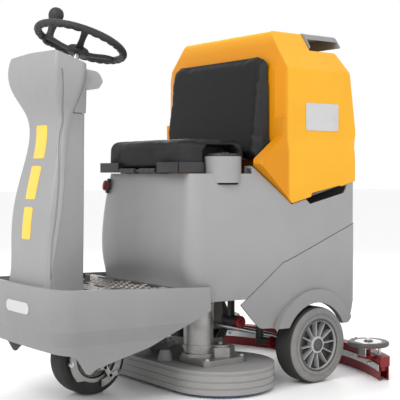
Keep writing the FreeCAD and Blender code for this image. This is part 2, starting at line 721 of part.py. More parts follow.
def top_line():
    """Side outline of the body's top: seat deck, then the V that the recovery tank lies in."""
    return [(BODY_FRONT + 261, SEAT_DECK_Z, 0), (BODY_FRONT + 261, 741, 0), (ry(-107), 613, 4), (ry(260), 704, 0)]


def seam_line():
    """Side outline between the tank and the skirt around the rear wheels."""
    return [(ry(-298), 285), (ry(-140), 417), (ry(190), 540), (ry(260), 546)]


def body_below_top(drop=0.0):
    line = [(y, z - drop, r) for y, z, r in top_line()]
    front = BODY_FRONT - 60
    return prism_x([(front, SEAT_DECK_Z - drop, 0)] + line + [(ry(260), 0, 0), (front, 0, 0)], -400, 400)


def body_bottom_line(lift=0.0):
    """What lies above the upper body's lower edge: level at the front, then the seam."""
    seam = [(y - lift * 0.4, z + lift, 0) for y, z in seam_line()]
    return [(BODY_FRONT - 60, BODY_BOTTOM_Z + lift, 0), (ry(-280), BODY_BOTTOM_Z + lift, 0)] + seam[1:]


def above_seam(lift=0.0):
    line = body_bottom_line(lift)
    return prism_x(line + [(line[-1][0], 900, 0), (line[0][0], 900, 0)], -400, 400)


def make_solution_tank():
    outer = body_envelope().common(body_below_top()).common(above_seam(SEAM))
    inner = body_envelope(WALL).common(body_below_top(WALL))
    outer = outer.cut(seat_rear_room(0.0))
    inner = inner.cut(seat_rear_room(WALL))
    rails = both_sides(box(RAIL_X - SEAM, RAIL_X + RAIL_WIDTH + SEAM, BODY_FRONT - 20, BODY_FRONT + 90,
                           0, RAIL_Z + RAIL_HEIGHT + SEAM))
    boss = cyl(BOSS_RADIUS, BOSS_TOP_Z - 686, Vector(BOSS_X, BOSS_Y, 686))
    boss_in = cyl(BOSS_RADIUS - WALL, BOSS_TOP_Z - 686 - 8, Vector(BOSS_X, BOSS_Y, 680))
    bay = box(-BAY_HALF + 6, BAY_HALF - 6, BODY_FRONT + 66, BODY_FRONT + 244, 600, 800)
    filler = cyl(FILLER_RADIUS, 200, Vector(BOSS_X, BOSS_Y, BOSS_TOP_Z - 100))
    shell = outer.fuse(boss).cut([inner, boss_in, bay, filler, rails, button_hole(), grip_notch(8)])
    return max(shell.Solids, key=lambda s: s.Volume)


def seat_rear_room(wall):
    """Keeps the deck level between the two rear shoulders, where the seat's back edge lies."""
    half = SEAT_HALF + 14 + wall
    return box(-half, half, BODY_FRONT + 180, BODY_FRONT + 310, SEAT_DECK_Z - wall, 820)


def grip_notch(grow=0.0):
    """Hand hold where the left rear edge of the body meets the recovery tank."""
    y0, y1 = ry(-40 - grow), ry(145 + grow)
    side = [(y0, 760, 0), (y0, 634, 12), (y0 + 26, 612, 10), (y1 - 12, 648, 10), (y1, 668, 0), (y1, 760, 0)]
    return prism_x(side, BODY_HALF - 40, BODY_HALF + 40)


def button_point():
    corner = Vector(BUTTON_X, BODY_FRONT + 41, BUTTON_Z)
    return corner, Vector(-0.48, -0.86, 0.17).normalize()


def button_hole():
    """Hole for the stem, with a flat seat that the head comes down to."""
    point, normal = button_point()
    hole = rod(point - normal * 60, point + normal * 60, BUTTON_STEM + 1)
    return hole.fuse(rod(point + normal * BUTTON_SEAT, point + normal * 60, BUTTON_HEAD + 2))


def make_emergency_button():
    """Mushroom button on the right front corner; it travels into the body."""
    point, normal = button_point()
    top = BUTTON_RISE + BUTTON_THICK
    head = rod(point + normal * BUTTON_RISE, point + normal * top, BUTTON_HEAD)
    return head.fuse(rod(point - normal * BUTTON_TAIL, point + normal * BUTTON_RISE, BUTTON_STEM))


def make_filler_cap():
    base = Vector(BOSS_X, BOSS_Y, BOSS_TOP_Z + 0.5)
    flange = cyl(FILLER_RADIUS + 12, 12, base)
    plug = cyl(FILLER_RADIUS - 1, 20, base - Vector(0, 0, 20))
    bar = box(BOSS_X - 30, BOSS_X + 30, BOSS_Y - 4, BOSS_Y + 4, base.z + 10, base.z + 16)
    return flange.fuse([plug, bar])


def make_rear_skirt():
    """Cover around the rear wheels, below the seam."""
    line = [(y, z, 0) for y, z in seam_line()]
    line += [(ry(260), 262, 0), (ry(191), 262, 0), (ry(166), 201, 10), (ry(150), 190, 12),
             (ry(-90), 199, 0), (ry(-223), 202, 24)]
    zone = prism_x(line, -400, 400)
    outer = body_envelope(-2.0).common(zone)
    inner = body_envelope(WALL - 2.0)
    lip = both_sides(wheel_lip()).common(prism_x(line, -400, 400))
    arch = cyl(REAR_RADIUS + 14, 800, Vector(-400, REAR_AXLE_Y, REAR_RADIUS), LEFT)
    well = box(-400, 400, ry(-REAR_RADIUS - 14), ry(REAR_RADIUS + 14), 0, REAR_RADIUS)
    front_wall = box(-RAIL_X - 40, RAIL_X + 40, ry(-320), ry(-60), 0, 300)
    shell = outer.cut(inner).fuse(lip).cut([arch, well, front_wall])
    return shell


def wheel_lip():
    """Raised fender round the left wheel opening."""
    arc = ring(REAR_RADIUS + 60, REAR_RADIUS + 14, 22, Vector(BODY_HALF - 14, REAR_AXLE_Y, REAR_RADIUS), LEFT)
    return arc.common(box(0, 400, ry(-200), ry(200), REAR_RADIUS + 62, 400))


def make_battery_pack():
    """Four block batteries side by side, each with its own lid and terminals."""
    y0, y1 = BODY_FRONT + 68, BODY_FRONT + 318
    width, depth = (2 * BAY_HALF - 40) / 2, (y1 - y0 - 8) / 2
    blocks = []
    for i in range(2):
        for j in range(2):
            x, y = -BAY_HALF + 18 + i * (width + 4), y0 + j * (depth + 8)
            case = box(x, x + width, y, y + depth, BAY_FLOOR_Z + 6, BAY_FLOOR_Z + 6 + BATTERY_HEIGHT)
            lid = box(x + 4, x + width - 4, y + 4, y + depth - 4, BAY_FLOOR_Z + BATTERY_HEIGHT,
                      BAY_FLOOR_Z + BATTERY_HEIGHT + 16)
            posts = [cyl(8, 12, Vector(x + px, y + depth / 2, BAY_FLOOR_Z + BATTERY_HEIGHT + 14))
                     for px in (24, width - 24)]
            blocks.append(case.fuse([lid] + posts))
    return Part.makeCompound(blocks)


def make_bay_liner():
    """Open box that keeps the water away from the batteries."""
    y0, y1 = BODY_FRONT + 60, BODY_FRONT + 328
    outer = box(-BAY_HALF, BAY_HALF, y0, y1, BAY_FLOOR_Z, SEAT_DECK_Z - WALL - 1)
    inner = box(-BAY_HALF + 5, BAY_HALF - 5, y0 + 5, y1 - 5, BAY_FLOOR_Z + 5, 900)
    slope = prism_x([(BODY_FRONT + 253, 900, 0), (BODY_FRONT + 253, 741, 0), (ry(-107), 602, 0), (ry(60), 602, 0),
                     (ry(60), 900, 0)], -400, 400)
    return outer.cut([inner, slope])


def make_drive_controller():
    y = REAR_AXLE_Y - 60
    case = box(-70, 70, y, y + 120, RAIL_Z + RAIL_HEIGHT + 1, RAIL_Z + RAIL_HEIGHT + 46)
    fins = [box(-66 + 12 * i, -62 + 12 * i, y + 4, y + 116, RAIL_Z + RAIL_HEIGHT + 46, RAIL_Z + RAIL_HEIGHT + 62)
            for i in range(12)]
    strap = box(-90, 90, y + 50, y + 70, RAIL_Z + RAIL_HEIGHT, RAIL_Z + RAIL_HEIGHT + 4)
    return case.fuse(fins + [strap])


def make_solution_pump():
    y = REAR_AXLE_Y + 95
    motor = cyl(26, 90, Vector(-150, y, RAIL_Z + RAIL_HEIGHT + 60), LEFT)
    head = box(-60, -10, y - 30, y + 30, RAIL_Z + RAIL_HEIGHT + 30, RAIL_Z + RAIL_HEIGHT + 90)
    ports = cyl(8, 80, Vector(-35, y - 30, RAIL_Z + RAIL_HEIGHT + 60), BACK)
    foot = box(-140, -20, y - 24, y + 24, RAIL_Z + RAIL_HEIGHT + 26, RAIL_Z + RAIL_HEIGHT + 36)
    return motor.fuse([head, ports, foot])


def make_solution_filter():
    """Strainer bowl hung from the left rail, its cap facing out."""
    centre = Vector(FILTER_X - 70, FILTER_Y, FILTER_Z)
    bowl = cyl(19, 70, centre, LEFT)
    hanger = box(FILTER_X - 50, FILTER_X - 30, FILTER_Y - 8, FILTER_Y + 8, FILTER_Z, RAIL_Z - 6)
    shelf = box(FILTER_X - 50, RAIL_X + RAIL_WIDTH, FILTER_Y - 8, FILTER_Y + 8, RAIL_Z - 6, RAIL_Z)
    return bowl.fuse([hanger, shelf])


def screw_cap(radius, x, y, z):
    """Ribbed screw cap facing out to the left."""
    cap = cyl(radius, 14, Vector(x, y, z), LEFT)
    for i in range(12):
        a = 2 * math.pi * i / 12
        cap = cap.cut(cyl(2.2, 20, Vector(x - 1, y + radius * math.cos(a), z + radius * math.sin(a)), LEFT))
    return cap


def make_filter_cap():
    return screw_cap(22, FILTER_X + 0.4, FILTER_Y, FILTER_Z)


def make_drain_pipe():
    """Drain elbow of the clean-water side, down from the tank behind the deck."""
    down = cyl(14, RAIL_Z - DRAIN_Z + 30, Vector(DRAIN_X - 60, DRAIN_Y, DRAIN_Z - 14))
    out = cyl(14, 60, Vector(DRAIN_X - 60, DRAIN_Y, DRAIN_Z), LEFT)
    flange = box(DRAIN_X - 90, RAIL_X, DRAIN_Y - 22, DRAIN_Y + 22, RAIL_Z + 14, RAIL_Z + 20)
    return down.fuse([out, flange])


def make_drain_cap():
    return screw_cap(21, DRAIN_X + 0.4, DRAIN_Y, DRAIN_Z)


# ---- recovery tank -------------------------------------------------------------------------------
def tank_side(depth=0.0):
    """Side outline of the recovery tank above the V of the body."""
    line = [(ry(-247), 748, 0), (ry(-107), 617, 5), (ry(217), 694, 8), (ry(192), 800, 30), (ry(207), 856, 30),
            (ry(176), 1066, 40), (ry(150), LID_SEAT_Z, 6), (ry(25), LID_SEAT_Z, 3), (ry(25), TANK_TOP_Z, 5),
            (ry(-120), TANK_TOP_Z, 22), (ry(-144), 1066, 20), (ry(-144), 838, 8), (ry(-240), 764, 4)]
    return inset(line, depth)


def tank_front(depth=0.0):
    return inset([(-TANK_HALF - 9, 600, 0), (TANK_HALF + 9, 600, 0), (TANK_HALF + 9, 790, 30),
                  (TANK_HALF, 836, 30), (TANK_HALF, 1070, 24), (TANK_HALF - 93, TANK_TOP_Z, 16),
                  (93 - TANK_HALF, TANK_TOP_Z, 16), (-TANK_HALF, 1070, 24), (-TANK_HALF, 836, 30),
                  (-TANK_HALF - 9, 790, 30)], depth)


def tank_plan(depth=0.0):
    return inset(mirrored([
        (0, ry(-144), 0), (BACK_HALF, ry(-144), 6), (TANK_HALF + 10, ry(-122), 8),
        (TANK_HALF + 10, ry(196), 30), (TANK_HALF - 18, ry(222), 30), (0, ry(222), 0)]), depth)


def wing_zone(depth=0.0):
    """The two low wings that reach forward beside the seat back."""
    return both_sides(prism_z(inset([(BACK_HALF + 2, ry(-246), 10), (TANK_HALF + 10, ry(-246), 10),
                                     (TANK_HALF + 10, ry(-100), 0), (BACK_HALF + 2, ry(-100), 0)], depth),
                              500, 900))


def tank_envelope(depth=0.0):
    body = prism_x(tank_side(depth), -400, 400).common(prism_y(tank_front(depth), ry(-300), ry(300)))
    return body.common(prism_z(tank_plan(depth), 500, 1300).fuse(wing_zone(depth)))


def make_recovery_tank():
    outer = tank_envelope()
    inner = tank_envelope(TANK_WALL)
    mouth = prism_z([(-170, ry(40), 20), (170, ry(40), 20), (170, ry(128), 20), (-170, ry(128), 20)],
                    LID_SEAT_Z - 20, LID_SEAT_Z + 20)
    grip = prism_x([(ry(-30), 600, 0), (ry(135), 600, 0), (ry(125), 676, 8), (ry(-18), 650, 8)],
                   TANK_HALF - 30, TANK_HALF + 30)
    inner = inner.cut(prism_x([(ry(-40), 600, 0), (ry(145), 600, 0), (ry(135), 686, 8), (ry(-28), 660, 8)],
                              TANK_HALF - 38, TANK_HALF + 30))
    shell = outer.cut([inner, mouth, grip]).fuse([tank_hinge_leaf()] + lid_hinge_ears())
    return max(shell.Solids, key=lambda s: s.Volume)


def make_tank_lid():
    """Gutter-shaped lid over the back of the roof; it laps over the roof's two chamfers."""
    y0, y1 = ry(25 + CLEAR), ry(191)
    top = TANK_TOP_Z + 1
    outline = [(-LID_HALF - 36, top - LID_HEIGHT, 6), (LID_HALF + 36, top - LID_HEIGHT, 6),
               (LID_HALF - 2, top, 16), (2 - LID_HALF, top, 16)]
    inner = [(-LID_HALF - 60, top - LID_HEIGHT - 5, 0), (LID_HALF + 60, top - LID_HEIGHT - 5, 0),
             (LID_HALF - 6, top - 6, 10), (6 - LID_HALF, top - 6, 10)]
    side = [(y0, top - 70, 0), (y1 - 6, top - 70, 0), (y1 - 6, top - LID_HEIGHT + 18, 0),
            (y1, top - LID_HEIGHT + 18, 2), (y1 - 4, top, 12), (y0, top, 3)]
    cover = prism_y(outline, y0, y1).common(prism_x(side, -400, 400))
    room = prism_y(inner, y0 + 5, y1 - 9)
    collar = ring(30, 24, 10, Vector(0, ry(84), top - 16))
    cover = cover.cut(room).cut(box(-400, 400, y1 - 40, y1 + 10, top - 70, top - LID_HEIGHT + 14))
    barrels = [cyl(LID_BARREL, 26, Vector(x - 13, LID_HINGE_Y, LID_HINGE_Z), LEFT) for x in LID_KNUCKLES]
    necks = [box(x - 13, x + 13, LID_HINGE_Y + 1.5, y0 + 4, top - 3, LID_HINGE_Z + 3) for x in LID_KNUCKLES]
    return cover.fuse(barrels + necks + [collar]).cut(lid_pins(LID_PIN + RUNNING))


def lid_pins(radius):
    """Pins of the lid's two hinges, each a little longer than its three knuckles."""
    return [cyl(radius, 64, Vector(x - 32, LID_HINGE_Y, LID_HINGE_Z), LEFT) for x in LID_KNUCKLES]


def lid_hinge_ears():
    """Fixed knuckles either side of each of the lid's, with their feet on the roof and the pins."""
    spots = [x + side for x in LID_KNUCKLES for side in (-28, 14)]
    rings = [cyl(LID_BARREL, 14, Vector(x, LID_HINGE_Y, LID_HINGE_Z), LEFT) for x in spots]
    feet = [box(x, x + 14, LID_HINGE_Y - 12, LID_HINGE_Y, TANK_TOP_Z - 3, LID_HINGE_Z - 1) for x in spots]
    return rings + feet + lid_pins(LID_PIN)


def make_vacuum_motor():
    """Suction motor hung inside the tank's roof."""
    centre = Vector(-90, ry(-42), TANK_TOP_Z - TANK_WALL - 136)
    body = cyl(54, 60, centre).fuse([cyl(44, 70, centre + Vector(0, 0, 60)), cyl(18, 40, centre - Vector(0, 0, 40))])
    return body.fuse(box(-160, -20, ry(-90), ry(6), TANK_TOP_Z - TANK_WALL - 6, TANK_TOP_Z - TANK_WALL))


def make_seat_back():
    """Back cushion's solid, clear of the tank it is fastened to."""
    front = [(-264, 762, 18), (264, 762, 18), (254, BACK_TOP_Z, 24), (-254, BACK_TOP_Z, 24)]
    middle = [(-BACK_HALF + 4, 756, 18), (BACK_HALF - 4, 756, 18), (BACK_HALF - 4, BACK_TOP_Z - 30, 30),
              (-BACK_HALF + 4, BACK_TOP_Z - 30, 30)]
    lean = lambda y0, y1: (lambda u, v: Vector(u, ry(y0) + (ry(y1) - ry(y0)) * (v - 760) / (BACK_TOP_Z - 760), v))
    solid = loft([corner_wire(front, lean(-205, -160)), corner_wire(middle, lean(-144, -144))], True)
    return solid


def seat_outline(depth=0.0):
    rear = BODY_FRONT + SEAT_DEPTH
    return inset(mirrored([(0, BODY_FRONT - 2, 900), (SEAT_HALF - 8, BODY_FRONT + 20, 46),
                           (SEAT_HALF + 10, rear - 60, 300), (SEAT_HALF, rear, 26), (0, rear, 0)]), depth)


def boss_room(top):
    """Arched recess of the seat around the water filler."""
    y0, y1 = BOSS_Y - BOSS_RADIUS - 12, BOSS_Y + BOSS_RADIUS + 14
    side = [(y0, 700, 0), (y0, top - 22, 4), (y0 + 22, top, 8), (y1 - 22, top, 8), (y1, top - 22, 4), (y1, 700, 0)]
    return prism_x(side, BOSS_X - BOSS_RADIUS - 8, BOSS_X + 100)


def make_seat_cushion():
    low = SEAT_DECK_Z + CLEAR + SEAT_PAN + 4
    high = low + SEAT_THICK
    body = loft([corner_wire(seat_outline(4), in_plan(low)), corner_wire(seat_outline(0), in_plan(low + 20)),
                 corner_wire(seat_outline(2), in_plan(high - 18)), corner_wire(seat_outline(16), in_plan(high))],
                True)
    hinge_room = cyl(11, 240, Vector(-120, SEAT_HINGE_Y, SEAT_HINGE_Z), LEFT)
    return body.cut([boss_room(812), hinge_room])


def seat_ears(grow=0.0):
    """Four ears of the fixed half of the seat hinge."""
    return [box(x - grow, x + 30 + grow, SEAT_HINGE_Y - 2 * grow, BODY_FRONT + 60 + grow,
                SEAT_DECK_Z, SEAT_DECK_Z + 13 + grow) for x in (-106, -44, 14, 76)]


def make_seat_pan():
    low = SEAT_DECK_Z + CLEAR
    pan = prism_z(seat_outline(8), low, low + SEAT_PAN)
    knuckles = [cyl(8, 30, Vector(x, SEAT_HINGE_Y, SEAT_HINGE_Z), LEFT) for x in (-75, 45)]
    necks = [box(x, x + 30, SEAT_HINGE_Y, BODY_FRONT + 30, low, low + SEAT_PAN) for x in (-75, 45)]
    room = [cyl(10, 32, Vector(x - 1, SEAT_HINGE_Y, SEAT_HINGE_Z), LEFT) for x in (-106, -44, 14, 76)]
    bore = cyl(HINGE_PIN + RUNNING, 240, Vector(-120, SEAT_HINGE_Y, SEAT_HINGE_Z), LEFT)
    leaf = box(-120, 120, BODY_FRONT + 64, BODY_FRONT + 110, low + SEAT_PAN, low + SEAT_PAN + LEAF)
    pan = pan.cut([boss_room(812)] + room + seat_ears(1.0))
    return pan.fuse(knuckles + necks + [leaf]).cut(bore)


def make_seat_hinge_bracket():
    ears = seat_ears()
    rings = [cyl(8, 30, Vector(x, SEAT_HINGE_Y, SEAT_HINGE_Z), LEFT) for x in (-106, -44, 14, 76)]
    pin = cyl(HINGE_PIN, 216, Vector(-108, SEAT_HINGE_Y, SEAT_HINGE_Z), LEFT)
    return ears[0].fuse(ears[1:] + rings + [pin])


def tank_knuckle_rows():
    """Start and length of the tank hinge's knuckles along Y: fixed ones, then moving ones."""
    fixed = [(ry(10), 24), (ry(64), 24), (ry(118), 24)]
    moving = [(ry(35), 28), (ry(89), 28)]
    return fixed, moving


def make_tank_hinge_bracket():
    fixed, _ = tank_knuckle_rows()
    x = TANK_HINGE_X
    leaf = box(x - 1, x + LEAF - 1, ry(6), ry(146), TANK_HINGE_Z - 110, TANK_HINGE_Z - 9)
    foot = box(x - 1, -BODY_HALF + 8, ry(6), ry(146), TANK_HINGE_Z - 110, TANK_HINGE_Z - 96)
    foot = foot.cut(body_envelope())
    barrels = [cyl(7, length, Vector(x, y, TANK_HINGE_Z), BACK) for y, length in fixed]
    necks = [box(x - 1, x + LEAF - 1, y, y + length, TANK_HINGE_Z - 12, TANK_HINGE_Z) for y, length in fixed]
    pin = cyl(HINGE_PIN, 136, Vector(x, ry(8), TANK_HINGE_Z), BACK)
    return leaf.fuse([foot, pin] + barrels + necks)


def tank_hinge_leaf():
    _, moving = tank_knuckle_rows()
    x = TANK_HINGE_X
    leaf = box(x - 1, -TANK_HALF - 6, ry(35), ry(117), TANK_HINGE_Z + 9, TANK_HINGE_Z + 50)
    barrels = [cyl(7, length, Vector(x, y, TANK_HINGE_Z), BACK) for y, length in moving]
    necks = [box(x - 1, x + LEAF - 1, y, y + length, TANK_HINGE_Z, TANK_HINGE_Z + 12) for y, length in moving]
    bore = cyl(HINGE_PIN + RUNNING, 200, Vector(x, ry(0), TANK_HINGE_Z), BACK)
    return leaf.fuse(barrels + necks).cut(bore)


# ---- scrubbing deck --------------------------------------------------------------------------
def deck_outline(depth, z0, z1):
    discs = [cyl(DECK_RADIUS - depth, z1 - z0, Vector(x, DECK_Y, z0)) for x in (-BRUSH_X, BRUSH_X)]
    front = DECK_Y - DECK_RADIUS + depth
    rear = DECK_Y + DECK_RADIUS - depth - 40
    bridge = box(-BRUSH_X, BRUSH_X, front, rear, z0, z1)
    return discs[0].fuse([discs[1], bridge])


def make_brush_deck():
    """Pressed deck with its rim and a hanging splash skirt of three bands."""
    top = DECK_TOP_Z
    shell = deck_outline(2, SKIRT_BOTTOM_Z, top)
    bands = [deck_outline(0, z, z + 17) for z in (SKIRT_BOTTOM_Z, SKIRT_BOTTOM_Z + 22, SKIRT_BOTTOM_Z + 44)]
    rim = deck_outline(0, top - 8, top)
    shell = shell.fuse(bands + [rim]).cut(deck_outline(8, SKIRT_BOTTOM_Z - 5, top - 6))
    holes = [cyl(13, 20, Vector(x, DECK_Y, top - 10)) for x in (-BRUSH_X, BRUSH_X)]
    guide = box(-40, 40, DECK_Y + 60, DECK_Y + 130, top, top + 6)
    lift_rod = cyl(9, 90, Vector(0, DECK_Y + 100, top))
    stays = [box(x, x + 8, DECK_Y + 70, DECK_Y + 130, top, top + 46) for x in (-48, 40)]
    cone = Part.makeCone(26, 17, 34, Vector(62, DECK_Y - 132, top))
    return shell.cut(holes).fuse([guide, lift_rod, cone, mirror_x(cone)] + stays)


def brush_drive():
    """Left gear motor: plate gearbox, hexagonal output housing and the upright motor."""
    top = DECK_TOP_Z
    plate = prism_z([(96, DECK_Y - 112, 22), (262, DECK_Y - 112, 22), (262, DECK_Y + 66, 26),
                     (150, DECK_Y + 66, 26), (96, DECK_Y - 8, 26)], top, top + 20)
    hexagon = [(BRUSH_X + 50 * math.cos(math.radians(a)), DECK_Y + 50 * math.sin(math.radians(a)), 4)
               for a in range(0, 360, 60)]
    housing = prism_z(hexagon, top + 20, top + 52)
    lid = cyl(34, 6, Vector(BRUSH_X, DECK_Y, top + 52))
    bolt = cyl(9, 8, Vector(BRUSH_X, DECK_Y, top + 58))
    motor = Vector(MOTOR_X, DECK_Y - 58, 0)
    base = cyl(MOTOR_RADIUS + 8, 12, motor + Vector(0, 0, top + 20))
    can = cyl(MOTOR_RADIUS, MOTOR_TOP_Z - top - 32, motor + Vector(0, 0, top + 32))
    band = cyl(MOTOR_RADIUS + 3, 14, motor + Vector(0, 0, top + 46))
    cap = cyl(MOTOR_RADIUS - 8, 8, motor + Vector(0, 0, MOTOR_TOP_Z - 4))
    bore = cyl(BRUSH_SHAFT + RUNNING, 60, Vector(BRUSH_X, DECK_Y, top - 10))
    return plate.fuse([housing, lid, bolt, base, can, band, cap]).cut(bore)


def make_brush():
    """Left brush: driven disc, its shaft and the bristle ring in tufted rows."""
    base_z = 42.0
    disc = cyl(DECK_RADIUS - 18, 18, Vector(BRUSH_X, DECK_Y, base_z))
    shaft = cyl(BRUSH_SHAFT, 80, Vector(BRUSH_X, DECK_Y, base_z))
    bristles = [ring(r, r - 14, base_z - 1, Vector(BRUSH_X, DECK_Y, 1))
                for r in (DECK_RADIUS - 22, DECK_RADIUS - 44, DECK_RADIUS - 66, DECK_RADIUS - 88)]
    return disc.fuse([shaft] + bristles)


def make_deck_actuator():
    """Lift cylinder whose rod is fixed to the deck."""
    base = Vector(0, DECK_Y + 100, DECK_TOP_Z + 70)
    tube = ring(20, 9 + RUNNING, RAIL_Z + RAIL_HEIGHT - 6 - base.z, base)
    return tube.fuse(box(-30, 30, DECK_Y + 70, DECK_Y + 130, RAIL_Z + RAIL_HEIGHT - 14, RAIL_Z + RAIL_HEIGHT - 6)
                     .cut(cyl(9 + RUNNING, 200, base)))


# ---- squeegee ----------------------------------------------------------------------------------
def squeegee_centre_y():
    return LENGTH / 2 - SQUEEGEE_RADIUS


def arc_band(outer, thick, z0, z1, half):
    """Curved bar about the squeegee's centre, cut square at its two ends."""
    base = Vector(0, squeegee_centre_y(), z0)
    band = ring(outer, outer - thick, z1 - z0, base)
    return band.common(box(-half, half, 0, LENGTH, z0, z1))


def make_squeegee_holder():
    body = arc_band(SQUEEGEE_RADIUS, SQUEEGEE_THICK, HOLDER_Z + 16, HOLDER_TOP_Z, SQUEEGEE_HALF)
    low = arc_band(SQUEEGEE_RADIUS - BLADE - 4, SQUEEGEE_THICK - 2 * BLADE - 8, HOLDER_Z, HOLDER_TOP_Z - 10,
                   SQUEEGEE_HALF - 10)
    posts = [cyl(8, ROLLER_Z - HOLDER_TOP_Z + 24, Vector(x, roller_y(), HOLDER_TOP_Z - 6))
             for x in (-ROLLER_X, ROLLER_X)]
    seats = [box(x - 30, x + 30, roller_y() - 22, end_y(), HOLDER_TOP_Z - 14, HOLDER_TOP_Z - 2)
             for x in (-ROLLER_X, ROLLER_X)]
    pad = box(-60, 60, PIVOT_Y - 30, LENGTH / 2 - 20, HOLDER_TOP_Z - 14, HOLDER_TOP_Z - 3)
    pin = cyl(PIVOT_R, 60, Vector(0, PIVOT_Y, HOLDER_TOP_Z - 6))
    nozzle = cyl(26, 46, Vector(0, LENGTH / 2 - SQUEEGEE_THICK / 2 - 6, HOLDER_TOP_Z - 4))
    studs = [cyl(4, 30, Vector(x, knob_y(), HOLDER_TOP_Z - 4)) for x in (-KNOB_REACH, KNOB_REACH)]
    duct = cyl(20, 200, Vector(0, LENGTH / 2 - SQUEEGEE_THICK / 2 - 6, HOLDER_Z - 20))
    return body.fuse([low, pad, pin, nozzle] + posts + seats + studs).cut(duct)


def roller_y():
    return squeegee_centre_y() + math.sqrt((SQUEEGEE_RADIUS - 60) ** 2 - ROLLER_X ** 2)


def end_y():
    return roller_y() + 34


def knob_y():
    return squeegee_centre_y() + math.sqrt((SQUEEGEE_RADIUS - SQUEEGEE_THICK / 2) ** 2 - KNOB_REACH ** 2)


def make_squeegee_front_blade():
    radius = SQUEEGEE_RADIUS - SQUEEGEE_THICK + 2 + BLADE
    return arc_band(radius, BLADE, 1.0, HOLDER_Z + 15.5, SQUEEGEE_HALF - 14)


def make_squeegee_rear_blade():
    return arc_band(SQUEEGEE_RADIUS - 2, BLADE, 1.0, HOLDER_Z + 15.5, SQUEEGEE_HALF - 4)


def make_roller():
    centre = Vector(ROLLER_X, roller_y(), ROLLER_Z)
    wheel = cyl(ROLLER_RADIUS, ROLLER_THICK, centre)
    groove = ring(ROLLER_RADIUS - 10, ROLLER_RADIUS - 22, 4, centre + Vector(0, 0, ROLLER_THICK - 3))
    boss = cyl(15, ROLLER_THICK + 4, centre - Vector(0, 0, 2))
    return wheel.cut(groove).fuse(boss).cut(cyl(8 + RUNNING, 60, centre - Vector(0, 0, 20)))


def make_squeegee_knob():
    """Star knob on its stud, on the left half of the squeegee."""
    base = Vector(KNOB_REACH, knob_y(), HOLDER_TOP_Z + 1)
    knob = cyl(19, 16, base + Vector(0, 0, 4)).fuse(cyl(11, 8, base))
    for i in range(5):
        a = 2 * math.pi * i / 5
        knob = knob.cut(cyl(6, 20, base + Vector(21 * math.cos(a), 21 * math.sin(a), 3)))
    return knob.cut(cyl(4 + RUNNING, 60, base - Vector(0, 0, 20)))


def make_squeegee_arm():
    """Carrier hinged behind the axle; the squeegee turns on a pin in its rear end."""
    y0, y1 = ARM_HINGE_Y, PIVOT_Y
    eye = ring(22, PIVOT_R + RUNNING, 12, Vector(0, y1, HOLDER_TOP_Z + 8))
    beam = prism_x([(y0 - 12, ARM_HINGE_Z + 8, 8), (y0 + 12, ARM_HINGE_Z + 14, 10),
                    (y1 - 12, HOLDER_TOP_Z + 20, 6), (y1 - 12, HOLDER_TOP_Z + 8, 2),
                    (y1 - 40, HOLDER_TOP_Z + 8, 10), (y0 - 6, ARM_HINGE_Z - 14, 8)], -18, 18)
    barrel = cyl(13, 120, Vector(-60, y0, ARM_HINGE_Z), LEFT)
    bores = [cyl(ARM_PIN + RUNNING, 200, Vector(-100, y0, ARM_HINGE_Z), LEFT),
             cyl(PIVOT_R + RUNNING, 60, Vector(0, y1, HOLDER_TOP_Z))]
    return eye.fuse([beam, barrel]).cut(bores)


def make_squeegee_hinge_bracket():
    y = ARM_HINGE_Y
    ears = [box(x, x + 8, y - 18, y + 18, ARM_HINGE_Z - 14, RAIL_Z) for x in (-72, 64)]
    top = box(-80, 80, y - 18, y + 18, RAIL_Z - 6, RAIL_Z)
    spine = box(-80, 80, REAR_AXLE_Y - 12, y + 18, RAIL_Z - 6, RAIL_Z)
    pin = cyl(ARM_PIN, 150, Vector(-75, y, ARM_HINGE_Z), LEFT)
    return top.fuse(ears + [spine, pin])


LEFT_RIGHT = ("left", "right")


